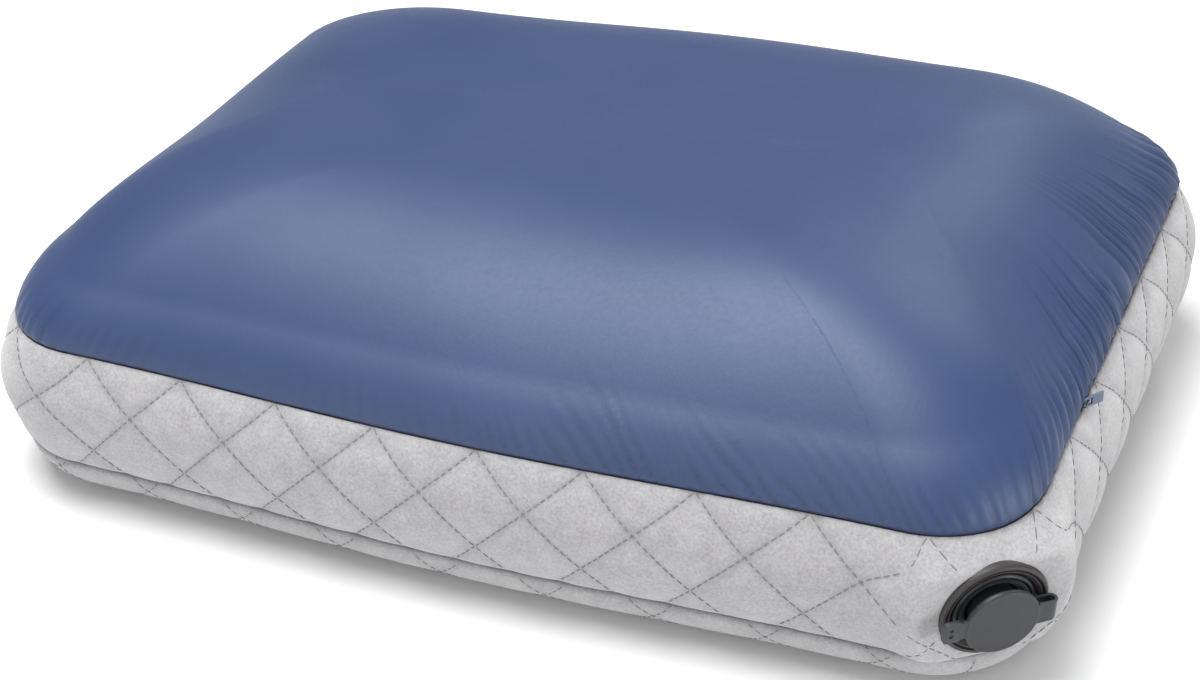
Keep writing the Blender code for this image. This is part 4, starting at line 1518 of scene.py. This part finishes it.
@dataclass
class BottomPanel:
    """The quilted underside, which turns up to the bottom seam."""

    form: PillowForm
    thickness: float = 2.4 * MM
    hem_rows: int = 22
    floor_rows: int = 26
    last_row: float = 0.04
    tuck_depth: float = 1.3 * MM
    tuck_reach: float = 2.4 * MM
    flat_to: float = 12 * MM
    full_from: float = 50 * MM
    seam_shade_reach: float = 2.2 * MM
    quilting: DiamondQuilting = DiamondQuilting(42.2 * MM, 45 * MM, 12 * MM, puff=1.3 * MM)

    def shape(self) -> tuple[ClothGrid, np.ndarray]:
        """Shape the panel before it is quilted.

        Returns:
            The panel from its seam to the middle, and each row's distance from the seam up to the floor.
        """
        width = self.form.floor_inset - self.form.bottom_seam_inset
        rows, flat = [], []
        angles = np.linspace(math.pi / 2, 0, self.hem_rows)
        insets = self.form.floor_inset - width * np.sin(angles)
        heights = self.form.bottom_seam_height * (1 - np.cos(angles))
        steps = np.hypot(np.diff(insets), np.diff(heights))
        reaches = np.concatenate([[0], np.cumsum(steps)])
        for inset, height, reach in zip(insets, heights, reaches):
            rows.append(self.form.ring(float(inset), float(height)))
            flat.append(self.form.ring(float(self.form.floor_inset - (reaches[-1] - reach)), 0.0)[:, :2])
        for shrink in np.linspace(1, self.last_row, self.floor_rows)[1:]:
            ring = rows[self.hem_rows - 1].copy()
            ring[:, :2] *= shrink
            rows.append(ring)
            flat.append(ring[:, :2])
        return ClothGrid(np.array(rows), np.array(flat)), reaches

    def build(self) -> list[bpy.types.Object]:
        """Make the quilted underside, whose grid's normals point up into the pillow, and its stitching.

        Returns:
            The pieces.
        """
        grid, reaches = self.shape()
        hollow = self.quilting.hollows(grid.flat)
        reach = np.concatenate([reaches, np.full(self.floor_rows - 1, 1.0)])[:, None]
        edge = smooth_step(reach, self.flat_to, self.full_from)
        tuck = (1 - np.clip(reach / self.tuck_reach, 0, 1)) ** 2
        grid.push(self.quilting.puff * hollow * (0.2 + 0.8 * edge) + self.tuck_depth * tuck)
        # Painted shade: darker in the stitch hollows and next to the seam.
        crease_shade = np.clip(hollow**4 * 0.75 + 0.6 * np.exp(-reach / self.seam_shade_reach), 0, 1)
        piece = grid.to_piece("quilted_underside", crease_shade, True)
        face_down(piece)
        thicken(piece, self.thickness)
        QUILT.dress(piece)
        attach(piece, "pillow")
        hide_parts("bottom_panel")
        return [piece, self.stitch(grid)]

    def stitch(self, grid: ClothGrid) -> bpy.types.Object:
        """Sew the underside's diamonds.

        Args:
            grid: The underside.

        Returns:
            The stitching.
        """
        low, high = grid.flat.reshape(-1, 2).min(0), grid.flat.reshape(-1, 2).max(0)
        sewing, line = Sewing(grid), StitchLine(sides=4)
        stitches = []
        for start, end in self.quilting.lines(low, high):
            for lifted in line.stitches(sewing, start, end):
                stitches.append([(point, -normal) for point, normal in lifted])
        piece = line.sew("underside_stitching", stitches)
        THREAD.dress(piece)
        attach(piece, "pillow")
        return piece


def face_down(piece: bpy.types.Object) -> None:
    """Turn the faces of a panel on the underside downwards."""
    if sum(face.normal.z * face.area for face in piece.data.polygons) > 0:
        piece.data.flip_normals()


@dataclass
class Filling:
    """The soft padding and the air cell inside the cover, settled as the top is."""

    form: PillowForm
    longest_edge: float = 16 * MM
    rounds: int = 4

    def settled_copy(self, node: str, name: str, finish: Finish) -> bpy.types.Object:
        """Make a finer copy of a frame node that has settled with the top.

        Args:
            node: The frame's node.
            name: The new piece's name.
            finish: Its finish.

        Returns:
            The piece.
        """
        piece = add_object(name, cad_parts[node].data.copy())
        shape = bmesh.new()
        shape.from_mesh(piece.data)
        bmesh.ops.remove_doubles(shape, verts=shape.verts, dist=0.001 * MM)
        for _ in range(self.rounds):
            long_edges = [edge for edge in shape.edges if edge.calc_length() > self.longest_edge]
            bmesh.ops.subdivide_edges(shape, edges=long_edges, cuts=1)
            bmesh.ops.triangulate(shape, faces=shape.faces)
        bmesh.ops.recalc_face_normals(shape, faces=shape.faces)
        shape.to_mesh(piece.data)
        shape.free()
        points = np.array([vertex.co for vertex in piece.data.vertices])
        points = self.form.settle(points)
        piece.data.vertices.foreach_set("co", points.reshape(-1).astype(np.float32))
        finish.dress(piece)
        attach(piece, "pillow")
        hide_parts(node)
        return piece

    def build(self) -> list[bpy.types.Object]:
        """Make the wadding, the cell's upper sheet and its webs, and dress the lower sheet.

        Returns:
            The pieces.
        """
        wadding = self.settled_copy("top_padding", "top_wadding", WADDING)
        pieces = [wadding, self.settled_copy("upper_cell_sheet", "cell_top_sheet", FILM)]
        for side in ("left", "middle", "right"):
            pieces.append(self.settled_copy(f"{side}_web", f"{side}_baffle", FILM))
        FILM.dress(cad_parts["lower_cell_sheet"])
        return pieces


# ---------------------------------------------------------------- valve


Section = list[tuple[float, float]]

def softened(corners: Section, radius: float, closed: bool) -> Section:
    """Round off a section's corners.

    Args:
        corners: The section's corners.
        radius: How far each corner is cut back along its sides, at most.
        closed: Whether the last corner joins the first.

    Returns:
        The rounded section.
    """
    points = [Vector(corner) for corner in corners]
    rounded = []
    for i, point in enumerate(points):
        if not closed and i in (0, len(points) - 1):
            rounded.append(tuple(point))
            continue
        before, after = points[i - 1], points[(i + 1) % len(points)]
        start = point + (before - point).normalized() * min(radius, (before - point).length * 0.45)
        end = point + (after - point).normalized() * min(radius, (after - point).length * 0.45)
        for step in range(4):
            share = step / 3
            bend = start.lerp(point, share).lerp(point.lerp(end, share), share)
            rounded.append(tuple(bend))
    return rounded


def turned(name: str, section: Section, closed: bool, steps: int = 112) -> bpy.types.Object:
    """Turn a section round Z.

    Args:
        name: The piece's name.
        section: (radius, height) points, from top to bottom down the outside.
        closed: Whether the section is a closed loop; otherwise it starts and ends on the axis.
        steps: How many steps it takes round.

    Returns:
        The piece.
    """
    angles = math.tau * np.arange(steps) / steps
    spokes = np.stack([np.cos(angles), np.sin(angles)], 1)
    middle = list(section) if closed else list(section)[1:-1]
    rings = [np.column_stack([spokes * radius, np.full(steps, height)]) for radius, height in middle]
    faces = ring_faces(len(rings), steps, closed)
    points = np.concatenate(rings)
    if not closed:
        tips = np.array([[0, 0, section[0][1]], [0, 0, section[-1][1]]])
        top, bottom = len(points), len(points) + 1
        points = np.vstack([points, tips])
        last = (len(rings) - 1) * steps
        faces += [(top, (j + 1) % steps, j) for j in range(steps)]
        faces += [(bottom, last + j, last + (j + 1) % steps) for j in range(steps)]
    piece = add_piece(name, points, faces)
    face_outwards(piece)
    return piece


def keep_edges(piece: bpy.types.Object, angle: float = math.radians(35)) -> None:
    """Shade a piece smooth but for edges sharper than an angle."""
    piece.data.shade_smooth()
    piece.data.set_sharp_from_angle(angle=angle)


@dataclass
class Valve:
    """The capped valve in the front right corner. Heights run outwards along its axis from the cover."""

    turn: float = math.radians(40)
    tip: float = math.radians(-8)
    port_radius: float = 20 * MM
    port_inner: float = 15.6 * MM
    port_top: float = 1.6 * MM
    port_bottom: float = -6 * MM
    strap_outer: float = 15.3 * MM
    strap_inner: float = 13.8 * MM
    throat: float = 9.4 * MM
    cap_radius: float = 13.8 * MM
    cap_bottom: float = 5.4 * MM
    cap_top: float = 7.6 * MM
    strap_width: float = 7.2 * MM
    strap_thickness: float = 1 * MM
    strap_widening: float = 0.25
    strap_low: float = 2.4 * MM
    strap_high: float = 6.5 * MM
    hinge_reach: float = 18.45 * MM
    bend_steps: int = 16
    tab_width: float = 9 * MM
    tab_length: float = 8 * MM

    @property
    def strap_root(self) -> float:
        """How far out the corners of the strap meet the strap ring."""
        return math.sqrt(self.strap_outer**2 - (self.strap_width / 2) ** 2)

    def matrix(self) -> Matrix:
        """Place the valve.

        Returns:
            Its frame: +Z out along its axis, +Y up and +X towards its strap.
        """
        box_low, box_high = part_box("port_ring")
        middle = (box_low + box_high) / 2
        outwards = Vector(
            (
                math.sin(self.turn) * math.cos(self.tip),
                -math.cos(self.turn) * math.cos(self.tip),
                math.sin(self.tip),
            )
        )
        across = Vector((math.cos(self.turn), math.sin(self.turn), 0))
        turn = Matrix((across, outwards.cross(across), outwards)).transposed().to_4x4()
        ring_middle = (self.port_top + self.port_bottom) / 2
        return Matrix.Translation(middle - outwards * ring_middle) @ turn

    def port_ring(self) -> bpy.types.Object:
        """Make the taupe ring that holds the cover: a flat flange, a groove and an inner lip that slopes in.

        Returns:
            The piece.
        """
        r, inner = self.port_radius, self.port_inner
        section = [
            (r, self.port_bottom),
            (r + 0.2 * MM, -0.6 * MM),
            (r + 0.1 * MM, 0.5 * MM),
            (r - 0.5 * MM, 1.5 * MM),
            (r - 1.3 * MM, 1.65 * MM),
            (r - 1.65 * MM, 1.45 * MM),
            (r - 1.75 * MM, 0.3 * MM),
            (r - 2.2 * MM, 0.3 * MM),
            (r - 2.35 * MM, 1.35 * MM),
            (r - 2.75 * MM, 1.3 * MM),
            (inner + 0.2 * MM, 0.0),
            (inner, -0.5 * MM),
            (inner, self.port_bottom),
        ]
        return turned("port_ring_moulding", softened(section, 0.35 * MM, True), True)

    def strap_ring(self) -> bpy.types.Object:
        """Make the ring round the valve's mouth, with a raised rim and the lug that the strap grows out of.

        Returns:
            The piece.
        """
        section = [
            (self.strap_outer, 0.1 * MM),
            (self.strap_outer, -1.7 * MM),
            (self.strap_inner, -1.7 * MM),
            (self.strap_inner, 0.1 * MM),
            (self.strap_inner + 0.35 * MM, 0.75 * MM),
            (self.strap_inner + 0.8 * MM, 0.75 * MM),
        ]
        ring = turned("strap_collar", softened(section, 0.2 * MM, True), True)
        shape = bmesh.new()
        size = Matrix.Diagonal((1.3 * MM, self.strap_width, 3.6 * MM, 1))
        middle = Matrix.Translation((self.strap_root - 0.35 * MM, 0, 1.1 * MM))
        bmesh.ops.create_cube(shape, size=1, matrix=middle @ size)
        edges = shape.edges[:]
        bmesh.ops.bevel(shape, geom=edges, offset=0.25 * MM, segments=2, profile=0.5, affect="EDGES")
        lug = bpy.data.meshes.new("strap_lug")
        shape.to_mesh(lug)
        shape.free()
        joined = bmesh.new()
        joined.from_mesh(ring.data)
        joined.from_mesh(lug)
        joined.to_mesh(ring.data)
        joined.free()
        bpy.data.meshes.remove(lug)
        keep_edges(ring)
        return ring

    def strap(self) -> bpy.types.Object:
        """Make the flat strap: out over the port ring, round its bend and back onto the cap.

        Returns:
            The piece.
        """
        root = self.strap_root + 0.1 * MM
        bend = (self.strap_high - self.strap_low) / 2
        height = (self.strap_low + self.strap_high) / 2
        path = [Vector((root + (self.hinge_reach - root) * i / 5, self.strap_low)) for i in range(5)]
        for i in range(self.bend_steps + 1):
            angle = -math.pi / 2 + math.pi * i / self.bend_steps
            path.append(Vector((self.hinge_reach + bend * math.cos(angle), height + bend * math.sin(angle))))
        end = self.cap_radius - 0.4 * MM
        for i in range(1, 6):
            path.append(Vector((self.hinge_reach + (end - self.hinge_reach) * i / 5, self.strap_high)))
        half = self.strap_width / 2
        section = softened([(-half, -0.5), (-half, 0.5), (half, 0.5), (half, -0.5)], 0.35 * MM, True)
        rows = []
        for i, point in enumerate(path):
            run = (path[min(i + 1, len(path) - 1)] - path[max(i - 1, 0)]).normalized()
            aside = Vector((-run.y, run.x)) * self.strap_thickness
            widen = 1 + self.strap_widening * i / (len(path) - 1)
            rows.append([(point.x + aside.x * t, y * widen, point.y + aside.y * t) for y, t in section])
        count = len(section)
        points = np.array(rows).reshape(-1, 3)
        faces = [tuple(range(count)), tuple(range((len(rows) - 1) * count, len(rows) * count))]
        faces += ring_faces(len(rows), count)
        piece = add_piece("hinge_strap", points, faces)
        face_outwards(piece)
        keep_edges(piece)
        return piece

    def cap(self) -> bpy.types.Object:
        """Make the cap: a slightly domed disc with a rolled rim, its plug and its pull tab.

        Returns:
            The piece.
        """
        r = self.cap_radius
        plug = self.throat - 0.45 * MM
        section = [
            (0, self.cap_top + 0.15 * MM),
            (r * 0.55, self.cap_top + 0.1 * MM),
            (r - 1.6 * MM, self.cap_top - 0.1 * MM),
            (r - 0.5 * MM, self.cap_top),
            (r, self.cap_top - 0.5 * MM),
            (r, self.cap_bottom + 0.4 * MM),
            (r - 0.4 * MM, self.cap_bottom),
            (plug, self.cap_bottom),
            (plug, -3 * MM),
            (plug - 0.5 * MM, -5.6 * MM),
            (plug - 1.4 * MM, -5.6 * MM),
            (plug - 1.4 * MM, self.cap_bottom),
            (0, self.cap_bottom),
        ]
        cap = turned("valve_cap_moulding", softened(section, 0.3 * MM, False), False)
        tab = self.tab()
        union = cap.modifiers.new("tab", "BOOLEAN")
        union.operation = "UNION"
        union.solver = "EXACT"
        union.object = tab
        apply_modifiers(cap)
        bpy.data.objects.remove(tab, do_unlink=True)
        keep_edges(cap)
        return cap

    def tab(self) -> bpy.types.Object:
        """Make the pull tab: widening from its neck, thinner than the cap, with two grip dimples.

        Returns:
            The tab, to be joined to the cap.
        """
        half = self.tab_width / 2
        start, end = -self.cap_radius + 1.5 * MM, -self.cap_radius - self.tab_length
        outline = [
            (start, -half * 0.82),
            (start, half * 0.82),
            (-self.cap_radius - 1.2 * MM, half * 0.8),
            (-self.cap_radius - 2.2 * MM, half),
            (end + 0.9 * MM, half),
            (end, half * 0.72),
            (end, -half * 0.72),
            (end + 0.9 * MM, -half),
            (-self.cap_radius - 2.2 * MM, -half),
            (-self.cap_radius - 1.2 * MM, -half * 0.8),
        ]
        outline = softened(outline, 0.6 * MM, True)
        low, high = self.cap_bottom + 0.25 * MM, self.cap_top - 0.3 * MM
        count = len(outline)
        points = np.array([(x, y, z) for z in (low, high) for x, y in outline])
        faces = [tuple(range(count)), tuple(range(count, 2 * count))]
        faces += ring_faces(2, count)
        tab = add_piece("pull_tab", points, faces, smooth=False)
        face_outwards(tab)
        edges = tab.modifiers.new("edges", "BEVEL")
        edges.width = 0.25 * MM
        edges.segments = 2
        edges.limit_method = "ANGLE"
        hollow = [(0, 0.8), (0.75, 0.3), (0.8, -0.2), (0.5, -0.6), (0, -0.75)]
        dimples = []
        for side in (-1, 1):
            section = [(radius * MM, height * MM) for radius, height in hollow]
            dimple = turned("dimple", section, False, 20)
            dimples.append(dimple)
            dimple.data.transform(Matrix.Translation((end + 3 * MM, side * 1.35 * MM, high)))
            cut = tab.modifiers.new("dimple", "BOOLEAN")
            cut.operation = "DIFFERENCE"
            cut.solver = "EXACT"
            cut.object = dimple
        apply_modifiers(tab)
        for dimple in dimples:
            bpy.data.objects.remove(dimple, do_unlink=True)
        return tab

    def build(self) -> list[bpy.types.Object]:
        """Make the valve's pieces and dress the frame's own.

        Returns:
            The pieces.
        """
        matrix = self.matrix()
        plan = (
            (self.port_ring(), "pillow", "port_ring", TAUPE),
            (self.strap_ring(), "pillow", "strap_ring", SLATE),
            (self.cap(), "cap", "valve_cap", SLATE),
            (self.strap(), None, "cap_strap", SLATE),
        )
        for piece, body, node, finish in plan:
            piece.data.transform(matrix)
            finish.dress(piece)
            if body:
                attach(piece, body)
            else:
                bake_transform(piece)
            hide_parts(node)
        for node, finish in (("valve_base", SLATE), ("flap_pin", SLATE), ("valve_flap", SILICONE)):
            finish.dress(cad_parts[node])
        return [piece for piece, *_ in plan]


# ---------------------------------------------------------------- zip


class CoilRow(Enum):
    """The two rows of the zip's coil, with the side that each lies on."""

    UPPER = 1
    LOWER = -1


@dataclass
class Zip:
    """The zip in the right-hand seam."""

    coil_radius: float = 0.9 * MM
    wire: float = 0.3 * MM
    pitch: float = 1.6 * MM
    loop_steps: int = 12
    loop_offset: float = 0.35 * MM
    loop_stretch: float = 1.35

    def coil(self, row: CoilRow) -> bpy.types.Object:
        """Make one row of the coil, whose loops reach across to mesh with the other row.

        Args:
            row: Which row it is.

        Returns:
            The piece.
        """
        node = f"{row.name.lower()}_coil"
        name = f"{node}_loops"
        low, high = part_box(node)
        middle = (low + high) / 2
        turns = int((high.y - low.y) / self.pitch)
        curve = bpy.data.curves.new(name, "CURVE")
        curve.dimensions = "3D"
        curve.bevel_depth = self.wire
        curve.bevel_resolution = 1
        curve.use_fill_caps = True
        spline = curve.splines.new("POLY")
        count = turns * self.loop_steps + 1
        spline.points.add(count - 1)
        for i, point in enumerate(spline.points):
            angle = math.tau * i / self.loop_steps + (math.pi if row is CoilRow.LOWER else 0)
            reach = self.coil_radius - self.wire
            x = middle.x + reach * math.sin(angle)
            z = middle.z - row.value * (self.loop_offset + self.loop_stretch * reach * math.cos(angle))
            y = low.y + self.wire + (high.y - low.y - 2 * self.wire) * i / (count - 1)
            point.co = (x, y, z, 1)
        piece = add_object(name, curve)
        COIL.dress(piece)
        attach(piece, "pillow")
        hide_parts(node)
        return piece

    def build(self) -> list[bpy.types.Object]:
        """Make the coils and dress the tapes, stops, slider and pull.

        Returns:
            The coils.
        """
        pieces = [self.coil(row) for row in CoilRow]
        plan = (
            ("upper_tape", TAPE),
            ("lower_tape", TAPE),
            ("front_stop", METAL),
            ("back_stop", METAL),
            ("zip_slider", METAL),
            ("zip_pull", PULL),
        )
        for node, finish in plan:
            finish.dress(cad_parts[node])
        return pieces


# ---------------------------------------------------------------- studio


@dataclass(frozen=True)
class Lamp:
    """A softbox: where it stands, what it faces, its size and power."""

    name: str
    place: Place
    size: tuple[float, float]
    power: float
    target: Place = (0.0, 0.0, 0.06)

    def hang(self) -> None:
        """Add the lamp to the scene."""
        light = bpy.data.lights.new(self.name, "AREA")
        light.shape = "RECTANGLE"
        light.size, light.size_y = self.size
        light.energy = self.power
        lamp = add_object(self.name, light)
        lamp.location = self.place
        lamp.rotation_euler = (Vector(self.target) - Vector(self.place)).to_track_quat("-Z", "Y").to_euler()


@dataclass
class Studio:
    """A pale floor, soft light and the camera."""

    azimuth: float = math.radians(22.955)
    elevation: float = math.radians(31.346)
    distance: float = 1.0122
    roll: float = math.radians(-1.37)
    lens: float = 73.36
    aim: tuple[float, float] = (-0.0072, -0.0137)
    aim_height: float = 0.04
    floor_reach: float = 6.0
    floor_drop: float = 0.2 * MM
    surroundings: float = 0.35
    lamps: tuple[Lamp, ...] = (
        Lamp("front_softbox", (-0.2, -1.9, 0.9), (1.3, 0.9), 9.0),
        Lamp("right_softbox", (2.0, -0.5, 0.35), (0.6, 0.5), 15.0),
        Lamp("back_softbox", (0.4, 1.5, 1.25), (0.7, 0.5), 7.0),
        Lamp("high_softbox", (-0.25, -0.22, 1.7), (1.4, 1.0), 40.0),
    )

    def camera(self) -> None:
        """Add the camera and make it the scene's."""
        sine, cosine = math.sin(self.azimuth), math.cos(self.azimuth)
        level = math.cos(self.elevation)
        back = Vector((sine * level, -cosine * level, math.sin(self.elevation)))
        right = Vector((cosine, sine, 0))
        up = back.cross(right)
        turn = math.cos(self.roll), math.sin(self.roll)
        right, up = turn[0] * right + turn[1] * up, -turn[1] * right + turn[0] * up
        target = Vector((0, 0, self.aim_height)) + self.aim[0] * right + self.aim[1] * up
        data = bpy.data.cameras.new("camera")
        data.lens = self.lens
        data.sensor_width = 36
        data.clip_start = 0.01
        camera = add_object("camera", data)
        axes = Matrix((right, up, back)).transposed().to_4x4()
        camera.matrix_world = Matrix.Translation(target + back * self.distance) @ axes
        bpy.context.scene.camera = camera

    def floor(self) -> None:
        """Lay the pale floor."""
        reach = self.floor_reach
        corners = ((-reach, -reach), (reach, -reach), (reach, reach), (-reach, reach))
        points = np.array([(x, y, -self.floor_drop) for x, y in corners])
        floor = add_piece("floor", points, [(0, 1, 2, 3)])
        tree = FinishTree("pale_floor")
        speck = tree.noise(40 * MM, 3.0)
        pale = tree.mix(speck, (0.86, 0.86, 0.865), (0.88, 0.88, 0.88))
        tree.set(base_color=pale, roughness=0.8 + speck * 0.1)
        floor.data.materials.append(tree.material)

    def world(self) -> None:
        """Light the surroundings evenly."""
        world = bpy.data.worlds.new("studio")
        world.use_nodes = True
        background = world.node_tree.nodes["Background"]
        background.inputs["Color"].default_value = (1.0, 1.0, 1.0, 1.0)
        background.inputs["Strength"].default_value = self.surroundings
        bpy.context.scene.world = world

    def build(self) -> None:
        """Set up the studio."""
        self.camera()
        self.floor()
        self.world()
        for lamp in self.lamps:
            lamp.hang()
        bpy.context.scene.view_settings.view_transform = "Standard"


# ---------------------------------------------------------------- making


def report(title: str, pieces: bpy.types.Object | Sequence[bpy.types.Object]) -> None:
    """Log the pieces of one sub-assembly.

    Args:
        title: The sub-assembly.
        pieces: Its piece or pieces.
    """
    several = pieces if isinstance(pieces, (list, tuple)) else [pieces]
    for piece in several:
        size = len(piece.data.polygons) if piece.type == "MESH" else 0
        log.info("%s: %s, %d faces", title, piece.name, size)


def main() -> None:
    """Build the studio and the pillow's pieces in order."""
    logging.basicConfig(level=logging.INFO, format="%(message)s", stream=sys.stdout)
    Studio().build()
    form = PillowForm()
    valve = Valve()
    top = TopCover(form)
    report("filling", Filling(form).build())
    report("top", top.build())
    report("side", SideBand(form, top, PortPatch(valve.matrix(), valve.port_radius)).build())
    report("bottom", BottomPanel(form).build())
    report("valve", valve.build())
    report("zip", Zip().build())


if __name__ == "__main__":
    main()
